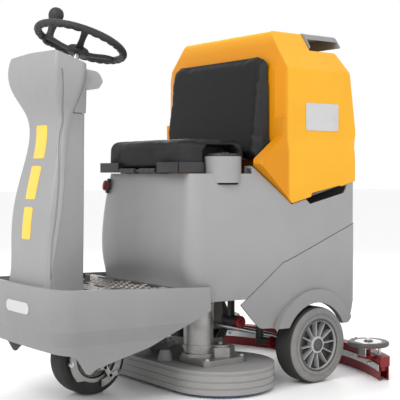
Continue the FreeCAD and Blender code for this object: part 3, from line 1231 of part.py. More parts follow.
def main():
    os.makedirs("parts", exist_ok=True)
    single = {
        "chassis_frame": make_chassis_frame, "front_cowl": make_front_cowl, "footplate": make_footplate,
        "column_rear_cover": make_column_rear_cover, "dash_binnacle": make_dash_binnacle,
        "dash_panel": make_dash_panel, "column_frame": make_column_frame,
        "key_switch": make_key_switch, "direction_switch": make_direction_switch,
        "accelerator_pedal": make_accelerator_pedal,
        "steering_wheel": make_steering_wheel, "steering_knob": make_steering_knob,
        "upper_steering_shaft": make_upper_shaft, "lower_steering_shaft": make_lower_shaft,
        "steering_chain": make_steering_chain, "fork_bearing": make_fork_bearing,
        "drive_fork": make_drive_fork, "drive_motor": make_drive_motor, "front_wheel_hub": make_front_hub,
        "front_tyre": make_front_tyre, "rear_axle": make_rear_axle, "solution_tank": make_solution_tank,
        "battery_bay_liner": make_bay_liner, "battery_pack": make_battery_pack, "rear_skirt": make_rear_skirt,
        "drive_controller": make_drive_controller, "solution_pump": make_solution_pump,
        "solution_filter": make_solution_filter, "filter_cap": make_filter_cap,
        "drain_pipe": make_drain_pipe, "drain_cap": make_drain_cap, "filler_cap": make_filler_cap,
        "emergency_button": make_emergency_button, "seat_cushion": make_seat_cushion,
        "seat_pan": make_seat_pan, "seat_hinge_bracket": make_seat_hinge_bracket,
        "recovery_tank": make_recovery_tank, "seat_back": make_seat_back, "vacuum_motor": make_vacuum_motor,
        "tank_lid": make_tank_lid, "tank_hinge_bracket": make_tank_hinge_bracket,
        "brush_deck": make_brush_deck, "deck_actuator": make_deck_actuator,
        "squeegee_holder": make_squeegee_holder, "squeegee_front_blade": make_squeegee_front_blade,
        "squeegee_rear_blade": make_squeegee_rear_blade, "squeegee_arm": make_squeegee_arm,
        "squeegee_hinge_bracket": make_squeegee_hinge_bracket,
    }
    paired = {
        "rear_tyre": make_rear_tyre, "rear_rim": make_rear_rim, "brush_motor": brush_drive,
        "brush": make_brush, "bumper_roller": make_roller, "squeegee_knob": make_squeegee_knob,
    }
    for name, make in single.items():
        save(name, make())
    for name, make in paired.items():
        left = make()
        save(name + "_left", left)
        save(name + "_right", mirror_x(left))


main()
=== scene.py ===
"""Looks of a compact ride-on floor scrubber-dryer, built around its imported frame."""

from __future__ import annotations

import json
import logging
import math
from collections.abc import Callable, Iterable
from dataclasses import dataclass
from enum import Enum

import bpy
from mathutils import Matrix, Vector

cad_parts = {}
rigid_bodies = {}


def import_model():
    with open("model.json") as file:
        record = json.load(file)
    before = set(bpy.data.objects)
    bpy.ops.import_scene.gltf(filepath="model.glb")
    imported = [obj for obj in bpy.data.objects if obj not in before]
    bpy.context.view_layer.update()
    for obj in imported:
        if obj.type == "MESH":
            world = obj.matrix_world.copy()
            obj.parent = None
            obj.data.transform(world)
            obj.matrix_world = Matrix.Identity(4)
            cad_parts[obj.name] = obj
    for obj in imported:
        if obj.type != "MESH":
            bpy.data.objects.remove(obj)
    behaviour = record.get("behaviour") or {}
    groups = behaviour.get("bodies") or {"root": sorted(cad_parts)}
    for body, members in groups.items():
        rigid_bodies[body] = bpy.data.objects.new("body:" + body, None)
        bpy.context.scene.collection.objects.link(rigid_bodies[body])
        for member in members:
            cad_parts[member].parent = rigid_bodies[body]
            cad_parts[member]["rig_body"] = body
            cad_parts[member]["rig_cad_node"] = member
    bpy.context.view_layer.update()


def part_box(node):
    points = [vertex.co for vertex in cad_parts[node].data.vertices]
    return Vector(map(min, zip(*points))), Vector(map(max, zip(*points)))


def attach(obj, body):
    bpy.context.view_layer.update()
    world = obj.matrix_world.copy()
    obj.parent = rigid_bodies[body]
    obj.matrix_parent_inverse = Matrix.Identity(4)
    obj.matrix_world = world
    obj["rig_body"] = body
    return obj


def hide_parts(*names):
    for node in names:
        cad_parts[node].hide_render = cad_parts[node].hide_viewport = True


log = logging.getLogger("scrubber")

Colour = tuple[float, float, float]
Point = tuple[float, float, float]


# ---- shader maths ---------------------------------------------------------------------------
class SocketExpr:
    """A number in a shader's node tree that ordinary arithmetic works on."""

    def __init__(self, tree: bpy.types.NodeTree, socket: bpy.types.NodeSocket) -> None:
        """Wrap one output socket."""
        self.tree = tree
        self.socket = socket

    def maths(self, operation: str, *others: "SocketExpr | float") -> "SocketExpr":
        """Add a Math node.

        Args:
            operation: the Math node's operation.
            others: its second and third inputs.

        Returns:
            The node's result.
        """
        node = self.tree.nodes.new("ShaderNodeMath")
        node.operation = operation
        for place, value in zip(node.inputs, (self, *others)):
            plug(self.tree, place, value)
        return SocketExpr(self.tree, node.outputs[0])

    def __add__(self, other: "SocketExpr | float") -> "SocketExpr":
        """Sum."""
        return self.maths("ADD", other)

    def __sub__(self, other: "SocketExpr | float") -> "SocketExpr":
        """Difference."""
        return self.maths("SUBTRACT", other)

    def __mul__(self, other: "SocketExpr | float") -> "SocketExpr":
        """Product."""
        return self.maths("MULTIPLY", other)

    def __rsub__(self, other: float) -> "SocketExpr":
        """A number minus this."""
        return (self * -1.0).maths("ADD", other)

    __radd__ = __add__
    __rmul__ = __mul__

    def step(self, low: float, high: float) -> "SocketExpr":
        """Smooth rise from 0 at low to 1 at high."""
        node = self.tree.nodes.new("ShaderNodeMapRange")
        node.interpolation_type = "SMOOTHSTEP"
        plug(self.tree, node.inputs["Value"], self)
        plug(self.tree, node.inputs["From Min"], low)
        plug(self.tree, node.inputs["From Max"], high)
        return SocketExpr(self.tree, node.outputs["Result"])

    def clamped(self) -> "SocketExpr":
        """The same value kept between 0 and 1."""
        return self.maths("MAXIMUM", 0.0).maths("MINIMUM", 1.0)


def plug(tree: bpy.types.NodeTree, place: bpy.types.NodeSocket, value: object) -> None:
    """Link an expression to an input socket, or set the socket's own value."""
    if isinstance(value, SocketExpr):
        tree.links.new(value.socket, place)
    else:
        place.default_value = value


class Paint:
    """A material under construction around one Principled shader."""

    def __init__(self, name: str) -> None:
        """Start an empty material called name."""
        self.material = bpy.data.materials.new(name)
        self.material.use_nodes = True
        self.tree = self.material.node_tree
        self.shader = self.tree.nodes["Principled BSDF"]
        self.where = self.node("ShaderNodeTexCoord", output="Object")

    def node(self, kind: str, settings: dict | None = None, output: str | int = 0,
             **inputs: object) -> SocketExpr:
        """Add any node.

        Args:
            kind: the node's type.
            settings: its own properties, set first.
            output: the output wanted.
            inputs: values or links by socket name, with _ for a space.

        Returns:
            The wanted output.
        """
        made = self.tree.nodes.new(kind)
        for key, value in (settings or {}).items():
            setattr(made, key, value)
        for key, value in inputs.items():
            plug(self.tree, made.inputs[key.replace("_", " ")], value)
        return SocketExpr(self.tree, made.outputs[output])

    def noise(self, scale: float, detail: float = 3.0, stretch: Point = (1.0, 1.0, 1.0)) -> SocketExpr:
        """Cloudy pattern of that many features per metre, stretched along the axes."""
        moved = self.node("ShaderNodeMapping", Vector=self.where, Scale=stretch)
        return self.node("ShaderNodeTexNoise", output="Fac", Vector=moved, Scale=scale, Detail=detail)

    def cells(self, scale: float, feature: str = "F1") -> SocketExpr:
        """Cellular pattern of that many cells per metre: distance to the nearest point or edge."""
        return self.node("ShaderNodeTexVoronoi", {"feature": feature}, "Distance", Vector=self.where,
                         Scale=scale)

    def along(self, axis: str) -> SocketExpr:
        """Object coordinate along X, Y or Z, in metres."""
        return self.node("ShaderNodeSeparateXYZ", output=axis, Vector=self.where)

    def mix(self, factor: SocketExpr | float, first: object, second: object) -> SocketExpr:
        """Colour mix from first, at factor 0, to second."""
        made = self.tree.nodes.new("ShaderNodeMix")
        made.data_type = "RGBA"
        for place, value in ((made.inputs[0], factor), (made.inputs[6], first), (made.inputs[7], second)):
            plug(self.tree, place, value if isinstance(value, (SocketExpr, float)) else (*value, 1.0))
        return SocketExpr(self.tree, made.outputs[2])

    def bump(self, height: SocketExpr, depth: float, below: SocketExpr | None = None) -> SocketExpr:
        """Bumps depth metres tall, over those below."""
        made = self.node("ShaderNodeBump", output="Normal", Height=height, Strength=1.0, Distance=depth)
        if below is not None:
            plug(self.tree, made.socket.node.inputs["Normal"], below)
        return made

    def wear(self, base: object, roughness: float, dust: float) -> tuple[SocketExpr, SocketExpr]:
        """Mottling, handling marks and floor dust over a base colour.

        Args:
            base: the clean colour.
            roughness: the clean roughness.
            dust: how much dust lies near the floor.

        Returns:
            Colour and roughness.
        """
        mottle = self.noise(9.0, 4.0).step(0.3, 0.75)
        smudge = self.noise(26.0, 6.0, (1.0, 1.0, 0.45)).step(0.52, 0.78)
        shade = self.mix(mottle * 0.10, base, tuple(0.55 * c for c in BASE_SHADE))
        low = self.along("Z").step(0.42, 0.02) * dust * (self.noise(60.0, 5.0) + 0.25).clamped()
        dusty = self.mix(low, shade, DUST)
        return dusty, (smudge * 0.10 + low * 0.25 + roughness).clamped()

    def surface(self, colour: object, roughness: object, normal: SocketExpr | None = None,
                **fixed: object) -> None:
        """Set the shader's colour, roughness and normal, and its plain values by socket name."""
        base = colour if isinstance(colour, SocketExpr) else (*colour, 1.0)
        plug(self.tree, self.shader.inputs["Base Color"], base)
        plug(self.tree, self.shader.inputs["Roughness"], roughness)
        if normal is not None:
            plug(self.tree, self.shader.inputs["Normal"], normal)
        for key, value in fixed.items():
            plug(self.tree, self.shader.inputs[key.replace("_", " ")], value)


BASE_SHADE: Colour = (0.30, 0.30, 0.31)
DUST: Colour = (0.42, 0.39, 0.34)


# ---- finishes -------------------------------------------------------------------------------
@dataclass(frozen=True)
class Moulded:
    """Rotational-moulded or injected plastic with a fine orange peel."""

    colour: Colour
    roughness: float = 0.42
    peel: float = 0.00012
    grain: float = 420.0
    dust: float = 0.25
    coat: float = 0.0
    # painted shade: how far the colour darkens from the deck down to the floor
    painted_low_shade: float = 0.0
    shine: float = 0.5

    def dress(self, paint: Paint) -> None:
        """Build the finish on paint, with painted shade darkening it from the deck down to the floor."""
        colour, rough = paint.wear(self.colour, self.roughness, self.dust)
        if self.painted_low_shade:
            # painted shade: darker towards the floor, at most to 0.40 of the colour
            low = paint.along("Z").step(0.50, 0.22) * (paint.noise(14.0, 5.0) * 0.4 + 0.8) * self.painted_low_shade
            colour = paint.mix(low.clamped(), colour, tuple(0.40 * c for c in self.colour))
        coarse = paint.bump(paint.noise(38.0, 2.0), self.peel * 2.5)
        fine = paint.bump(paint.noise(self.grain, 2.0), self.peel, coarse)
        paint.surface(colour, rough, fine, Coat_Weight=self.coat, Coat_Roughness=0.25,
                      Specular_IOR_Level=self.shine)


@dataclass(frozen=True)
class TankShell:
    """Yellow moulded tank whose front bevels take a deeper orange as painted shade; below 0.6 m it is mixed a
    quarter of the way to that orange, and its mottling uses the same orange.
    """

    colour: Colour
    bevel: Colour
    bevel_y: float

    def dress(self, paint: Paint) -> None:
        """Build the finish on paint."""
        # painted shade: the front part, ahead of bevel_y, takes the deeper orange
        front = paint.along("Y").step(self.bevel_y + 0.010, self.bevel_y - 0.006)
        # darker towards the bottom: a quarter of the way to the deeper orange
        low = paint.along("Z").step(0.70, 0.60) * 0.25
        base = paint.mix((front + low).clamped(), self.colour, self.bevel)
        mottle = paint.noise(7.0, 4.0).step(0.35, 0.8)
        rough = (paint.noise(24.0, 6.0).step(0.5, 0.8) * 0.12 + 0.36).clamped()
        coarse = paint.bump(paint.noise(34.0, 2.0), 0.00030)
        fine = paint.bump(paint.noise(420.0, 2.0), 0.00010, coarse)
        paint.surface(paint.mix(mottle * 0.16, base, self.bevel), rough, fine, Specular_IOR_Level=0.22)


@dataclass(frozen=True)
class Vinyl:
    """Grained seat vinyl: small pebbles with finer creases between them."""

    colour: Colour
    rubbed: Colour
    roughness: float = 0.46

    def dress(self, paint: Paint) -> None:
        """Build the finish on paint."""
        worn = paint.noise(8.0, 5.0).step(0.42, 0.72)
        colour = paint.mix(worn * 0.55, self.colour, self.rubbed)
        pebble = paint.bump(paint.cells(520.0), 0.00028)
        crease = paint.bump(paint.noise(60.0, 6.0), 0.0006, pebble)
        rough = (worn * 0.12 + paint.noise(300.0, 2.0) * 0.10 + self.roughness).clamped()
        paint.surface(colour, rough, crease, Specular_IOR_Level=0.22)


@dataclass(frozen=True)
class Rubber:
    """Moulded rubber, dusty near the floor, with a blacker tread inside sidewall_x where that is set."""

    colour: Colour
    roughness: float = 0.74
    dust: float = 0.5
    scuffs: float = 0.25
    sidewall_x: float = 0.0
    tread: Colour = (0.012, 0.012, 0.012)
    tread_cover: float = 0.88

    def dress(self, paint: Paint) -> None:
        """Build the finish on paint."""
        colour, rough = paint.wear(self.colour, self.roughness, self.dust)
        scuff = paint.noise(140.0, 6.0, (1.0, 1.0, 0.3)).step(0.62, 0.72)
        colour = paint.mix(scuff * self.scuffs, colour, DUST)
        if self.sidewall_x:
            across = paint.node("ShaderNodeMath", {"operation": "ABSOLUTE"}, Value=paint.along("X"))
            running = across.step(self.sidewall_x, self.sidewall_x - 0.004) * self.tread_cover
            colour = paint.mix(running, colour, self.tread)
        paint.surface(colour, rough, paint.bump(paint.noise(700.0, 3.0), 0.00020), Specular_IOR_Level=0.25)


@dataclass(frozen=True)
class Metal:
    """Bare, plated or cast metal; brushed along one axis or grainy all over."""

    colour: Colour
    roughness: float = 0.34
    brush: Point = (1.0, 1.0, 1.0)
    grain: float = 320.0
    depth: float = 0.00006

    def dress(self, paint: Paint) -> None:
        """Give each of the frame's nodes its finish."""
        streak = paint.noise(self.grain, 4.0, self.brush)
        stain = paint.noise(18.0, 6.0).step(0.45, 0.80)
        colour = paint.mix(stain * 0.35, self.colour, tuple(0.62 * c for c in self.colour))
        rough = (streak * 0.16 + stain * 0.14 + self.roughness - 0.08).clamped()
        paint.surface(colour, rough, paint.bump(streak, self.depth), Metallic=1.0)


@dataclass(frozen=True)
class Coated:
    """Powder-coated steel with chips down to a paler metal."""

    colour: Colour
    chip: Colour = (0.30, 0.29, 0.28)

    def dress(self, paint: Paint) -> None:
        """Build the finish on paint."""
        chips = paint.noise(75.0, 8.0).step(0.69, 0.72)
        colour, rough = paint.wear(self.colour, 0.45, 0.35)
        peel = paint.bump(paint.noise(900.0, 2.0), 0.00008)
        dents = paint.bump(chips * -1.0, 0.0001, peel)
        paint.surface(paint.mix(chips * 0.8, colour, self.chip), rough, dents)


@dataclass(frozen=True)
class Bristles:
    """Bundles of nylon filaments that stand upright."""

    colour: Colour
    tip: Colour

    def dress(self, paint: Paint) -> None:
        """Build the finish on paint."""
        strand = paint.noise(900.0, 3.0, (1.0, 1.0, 0.04))
        colour = paint.mix(strand.step(0.35, 0.65), self.colour, self.tip)
        paint.surface(colour, 0.6, paint.bump(strand, 0.0008))




class Finish(Enum):
    """Every finish of the machine, with the record's slot that it belongs to."""

    # the shell is darkened from the deck down to the floor as painted shade
    SHELL = ("grey_shell", Moulded((0.292, 0.292, 0.295), 0.46, dust=0.0, painted_low_shade=0.42))
    # the tank's front bevels take a deeper orange as painted shade
    TANK = ("yellow_tank", TankShell((0.80, 0.40, 0.022), (0.62, 0.235, 0.003), 0.172))
    SEAT = ("seat_vinyl", Vinyl((0.0060, 0.0060, 0.0064), (0.014, 0.014, 0.015)))
    SEAT_SIDE = ("seat_vinyl", Vinyl((0.020, 0.020, 0.021), (0.030, 0.030, 0.031), 0.55))
    DARK = ("dark_plastic", Moulded((0.018, 0.018, 0.020), 0.48, dust=0.15))
    WHEEL_GRIP = ("grip_rubber", Moulded((0.020, 0.020, 0.022), 0.56, 0.00016, 700.0, 0.0, shine=0.35))
    TYRE = ("tyre_rubber", Rubber((0.150, 0.150, 0.153), 0.72, 0.35, sidewall_x=0.354))
    DRIVE_TYRE = ("tyre_rubber", Rubber((0.008, 0.008, 0.009), 0.62, 0.03, 0.04))
    BLACK_STEEL = ("black_paint", Coated((0.012, 0.012, 0.013)))
    CAST = ("cast_alloy", Metal((0.36, 0.355, 0.345), 0.46, grain=260.0, depth=0.00014))
    ZINC = ("steel", Metal((0.62, 0.62, 0.63), 0.30, (1.0, 1.0, 0.06), 420.0))
    TREAD = ("tread_plate", Metal((0.24, 0.215, 0.20), 0.40, (1.0, 0.15, 1.0), 260.0))
    RED = ("red_plastic", Moulded((0.20, 0.004, 0.005), 0.40, 0.00006, 300.0, 0.0, shine=0.3))
    SILVER = ("silver_rim", Moulded((0.44, 0.44, 0.45), 0.38, 0.00006, 300.0, 0.10))
    BRISTLE = ("bristle", Bristles((0.010, 0.020, 0.045), (0.05, 0.09, 0.16)))
    SKIRT = ("skirt_rubber", Rubber((0.27, 0.27, 0.275), 0.55, 0.20))
    BATTERY = ("battery_case", Moulded((0.03, 0.03, 0.034), 0.5))
    LID = ("lid_grey", Moulded((0.25, 0.25, 0.255), 0.44, dust=0.0))
    FLASH = ("yellow_tank", Moulded((0.86, 0.55, 0.04), 0.30, 0.00003, 500.0, 0.0, 0.3))
    BLANK = ("steel", Metal((0.66, 0.66, 0.67), 0.32, (0.05, 1.0, 1.0), 700.0, 0.00003))

    @property
    def slot(self) -> str:
        """The record's material slot."""
        return self.value[0]

    @property
    def material(self) -> bpy.types.Material:
        """The finished material, made once."""
        name = self.name.lower()
        found = bpy.data.materials.get(name)
        if found is None:
            paint = Paint(name)
            self.value[1].dress(paint)
            found = paint.material
        return found


# ---- bench ----------------------------------------------------------------------------------
class Workpiece:
    """One mesh on the bench: added as a primitive, shaped in edit mode, finished in place."""

    def __init__(self, name: str, add: Callable, **settings: object) -> None:
        """Add a primitive with one operator and call it name."""
        bpy.ops.object.select_all(action="DESELECT")
        add(**settings)
        self.obj: bpy.types.Object = bpy.context.active_object
        self.obj.name = name
        self.obj.data.name = name
        bpy.ops.object.transform_apply(location=True, rotation=True, scale=True)

    @classmethod
    def copied(cls, source: bpy.types.Object, name: str) -> "Workpiece":
        """A piece that holds a copy of an object and of its mesh."""
        made = object.__new__(cls)
        made.obj = source.copy()
        made.obj.data = source.data.copy()
        made.obj.name = made.obj.data.name = name
        bpy.context.scene.collection.objects.link(made.obj)
        return made

    def activate(self) -> None:
        """Make this the only selected object."""
        bpy.ops.object.select_all(action="DESELECT")
        self.obj.select_set(True)
        bpy.context.view_layer.objects.active = self.obj

    def faces(self, wanted: Callable[[Vector, Vector], bool], *steps: tuple[Callable, dict]) -> "Workpiece":
        """Run edit-mode operators on some faces.

        Args:
            wanted: says from a face's centre and normal whether it is selected.
            steps: pairs of operator and settings, run in order.

        Returns:
            This piece.
        """
        self.activate()
        mesh = self.obj.data
        for group in (mesh.vertices, mesh.edges):
            group.foreach_set("select", [False] * len(group))
        mesh.polygons.foreach_set("select", [bool(wanted(p.center, p.normal)) for p in mesh.polygons])
        return self.edit("FACE", *steps)

    def points(self, wanted: Callable[[Vector], bool], *steps: tuple[Callable, dict]) -> "Workpiece":
        """Run edit-mode operators on the vertices that wanted picks by their place."""
        self.activate()
        mesh = self.obj.data
        for group in (mesh.edges, mesh.polygons):
            group.foreach_set("select", [False] * len(group))
        mesh.vertices.foreach_set("select", [bool(wanted(v.co)) for v in mesh.vertices])
        return self.edit("VERT", *steps)

    def edit(self, mode: str, *steps: tuple[Callable, dict]) -> "Workpiece":
        """Run operators in edit mode on what is selected."""
        bpy.ops.object.mode_set(mode="EDIT")
        bpy.ops.mesh.select_mode(type=mode)
        for operator, settings in steps:
            operator(**settings)
        bpy.ops.object.mode_set(mode="OBJECT")
        return self

    def modify(self, kind: str, **settings: object) -> "Workpiece":
        """Add a modifier and apply it."""
        self.activate()
        made = self.obj.modifiers.new(kind.lower(), kind)
        for key, value in settings.items():
            setattr(made, key, value)
        bpy.ops.object.modifier_apply(modifier=made.name)
        return self

    def round_edges(self, width: float, segments: int = 2, angle: float = 30.0) -> "Workpiece":
        """Bevel the edges sharper than angle."""
        return self.modify("BEVEL", width=width, segments=segments, limit_method="ANGLE",
                           angle_limit=math.radians(angle))

    def move(self, matrix: Matrix) -> "Workpiece":
        """Put the mesh where matrix says and apply it."""
        self.obj.data.transform(matrix)
        self.obj.data.update()
        return self

    def outwards(self) -> "Workpiece":
        """Merge doubles and turn every face outwards."""
        return self.points(lambda co: True, (bpy.ops.mesh.remove_doubles, {"threshold": 1e-6}),
                           (bpy.ops.mesh.normals_make_consistent, {"inside": False}))

    def join(self, others: Iterable["Workpiece"]) -> "Workpiece":
        """Take other pieces into this one."""
        others = list(others)
        if others:
            self.activate()
            for other in others:
                other.obj.select_set(True)
            bpy.ops.object.join()
        return self

    def copy(self, name: str, matrix: Matrix) -> "Workpiece":
        """A copy with its own mesh, moved by matrix."""
        return Workpiece.copied(self.obj, name).move(matrix)

    def finish(self, body: str, finish: Finish, smooth: float = 35.0,
               stands_for: tuple[str, ...] = ()) -> None:
        """Dress the piece and hang it on its body.

        Args:
            body: the body that it rides on.
            finish: its finish.
            smooth: the angle in degrees below which edges are shaded smooth.
            stands_for: the frame's nodes that it replaces.
        """
        self.activate()
        bpy.ops.object.shade_smooth_by_angle(angle=math.radians(smooth))
        self.obj.data.materials.clear()
        self.obj.data.materials.append(finish.material)
        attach(self.obj, body)
        if stands_for:
            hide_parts(*stands_for)
        log.info("%s: %d faces on %s", self.obj.name, len(self.obj.data.polygons), body)


def cylinder(name: str, radius: float, depth: float, centre: Point = (0, 0, 0), sides: int = 48) -> Workpiece:
    """An upright cylinder about centre."""
    return Workpiece(name, bpy.ops.mesh.primitive_cylinder_add, radius=radius, depth=depth, location=centre,
                     vertices=sides)


def block(name: str, low: Point, high: Point) -> Workpiece:
    """A block between two corners."""
    size = [b - a for a, b in zip(low, high)]
    centre = [(a + b) / 2 for a, b in zip(low, high)]
    return Workpiece(name, bpy.ops.mesh.primitive_cube_add, size=1.0, scale=size, location=centre)


def turned(name: str, profile: Iterable[tuple[float, float]], steps: int = 64,
           closed: bool = False) -> Workpiece:
    """A shape turned about Z.

    Args:
        name: the piece's name.
        profile: (radius, height) points; both ends lie on the axis unless closed.
        steps: facets round the axis.
        closed: True for a ring whose profile is a loop.

    Returns:
        The piece, with its faces outwards.
    """
    points = [(r, 0.0, z) for r, z in profile]
    edges = [(i, i + 1) for i in range(len(points) - 1)]
    if closed:
        edges.append((len(points) - 1, 0))
    made = sketch(name, points, edges, [])
    whole_turn = {"steps": steps, "angle": math.tau, "center": (0, 0, 0), "axis": (0, 0, 1)}
    made.edit("VERT", (bpy.ops.mesh.select_all, {"action": "SELECT"}), (bpy.ops.mesh.spin, whole_turn))
    return made.outwards()


def axis_to(direction: Point, origin: Point, roll: float = 0.0) -> Matrix:
    """Matrix that takes +Z at the origin to direction at origin, after a turn of roll about it."""
    turn = Vector(direction).to_track_quat("Z", "Y").to_matrix().to_4x4()
    return Matrix.Translation(origin) @ turn @ Matrix.Rotation(roll, 4, "Z")


def sketch(name: str, points: Iterable[Point], edges: list[tuple], faces: list[tuple]) -> Workpiece:
    """A bare mesh from points and the edges or faces between them."""
    made = Workpiece(name, bpy.ops.mesh.primitive_plane_add, size=1.0)
    made.obj.data.clear_geometry()
    made.obj.data.from_pydata(list(points), edges, faces)
    return made


def scattered(seed: Workpiece, places: list[Matrix]) -> Workpiece:
    """One small piece at several places, joined."""
    copies = [seed.copy("copy", place) for place in places[1:]]
    return seed.move(places[0]).join(copies)


def around(piece: Workpiece, count: int) -> Workpiece:
    """A piece and its copies, count in all, evenly turned about Z and joined."""
    return scattered(piece, [Matrix.Rotation(math.tau * i / count, 4, "Z") for i in range(count)])


def middle(node: str) -> Vector:
    """Centre of a frame node's box."""
    low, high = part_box(node)
    return (low + high) / 2


MIRROR = Matrix.Scale(-1.0, 4, Vector((1.0, 0.0, 0.0)))


def mirrored(piece: Workpiece, name: str) -> Workpiece:
    """The same piece on the right side, with its faces turned back outwards."""
    return piece.copy(name, MIRROR).outwards()


# ---- padded seat ----------------------------------------------------------------------------
@dataclass
class Pad:
    """A foam pad under vinyl, blown up by cloth simulation from its frame solid."""

    node: str
    body: str
    side_faces: Callable[[Vector, Vector], bool]
    finish: Finish = Finish.SEAT
    side: Finish = Finish.SEAT_SIDE
    shrink: float = 0.0035
    voxel: float = 0.0055
    pressure: float = 3.5
    cap: float = 0.007
    fill: float = 0.85

    def build(self) -> None:
        pad = Workpiece.copied(bpy.data.objects[self.node], self.node + "_cover")
        pad.obj.parent = None
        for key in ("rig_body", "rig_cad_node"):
            del pad.obj[key]
        pad.outwards()
        pad.points(lambda co: True, (bpy.ops.transform.shrink_fatten, {"value": -self.shrink}))
        pad.modify("REMESH", mode="VOXEL", voxel_size=self.voxel, use_smooth_shade=True)
        pad.modify("SMOOTH", factor=0.5, iterations=4)
        self.inflate(pad)
        pad.modify("SUBSURF", levels=1, render_levels=1)
        pad.activate()
        bpy.ops.object.shade_smooth()
        mesh = pad.obj.data
        mesh.materials.clear()
        mesh.materials.append(self.finish.material)
        mesh.materials.append(self.side.material)
        on_side = [int(self.side_faces(p.center, p.normal)) for p in mesh.polygons]
        mesh.polygons.foreach_set("material_index", on_side)
        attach(pad.obj, self.body)
        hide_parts(self.node)
        log.info("%s: %d faces, padded", pad.obj.name, len(mesh.polygons))

    def inflate(self, pad: Workpiece) -> None:
        """Blow the pad up for twenty frames, keep each point within cap of where it was, and apply."""
        pad.activate()
        rest = [v.co.copy() for v in pad.obj.data.vertices]
        bpy.ops.object.modifier_add(type="CLOTH")
        cloth = pad.obj.modifiers[-1]
        cloth.settings.use_pressure = True
        cloth.settings.uniform_pressure_force = self.pressure
        cloth.settings.effector_weights.gravity = 0.0
        cloth.settings.quality = 5
        for frame in range(1, 21):
            bpy.context.scene.frame_set(frame)
        bpy.ops.object.modifier_apply(modifier=cloth.name)
        bpy.context.scene.frame_set(1)
        for vertex, start in zip(pad.obj.data.vertices, rest):
            shift = vertex.co - start
            if shift.length > self.cap:
                vertex.co = start + shift.normalized() * self.cap
        pad.modify("SMOOTH", factor=0.5, iterations=3)


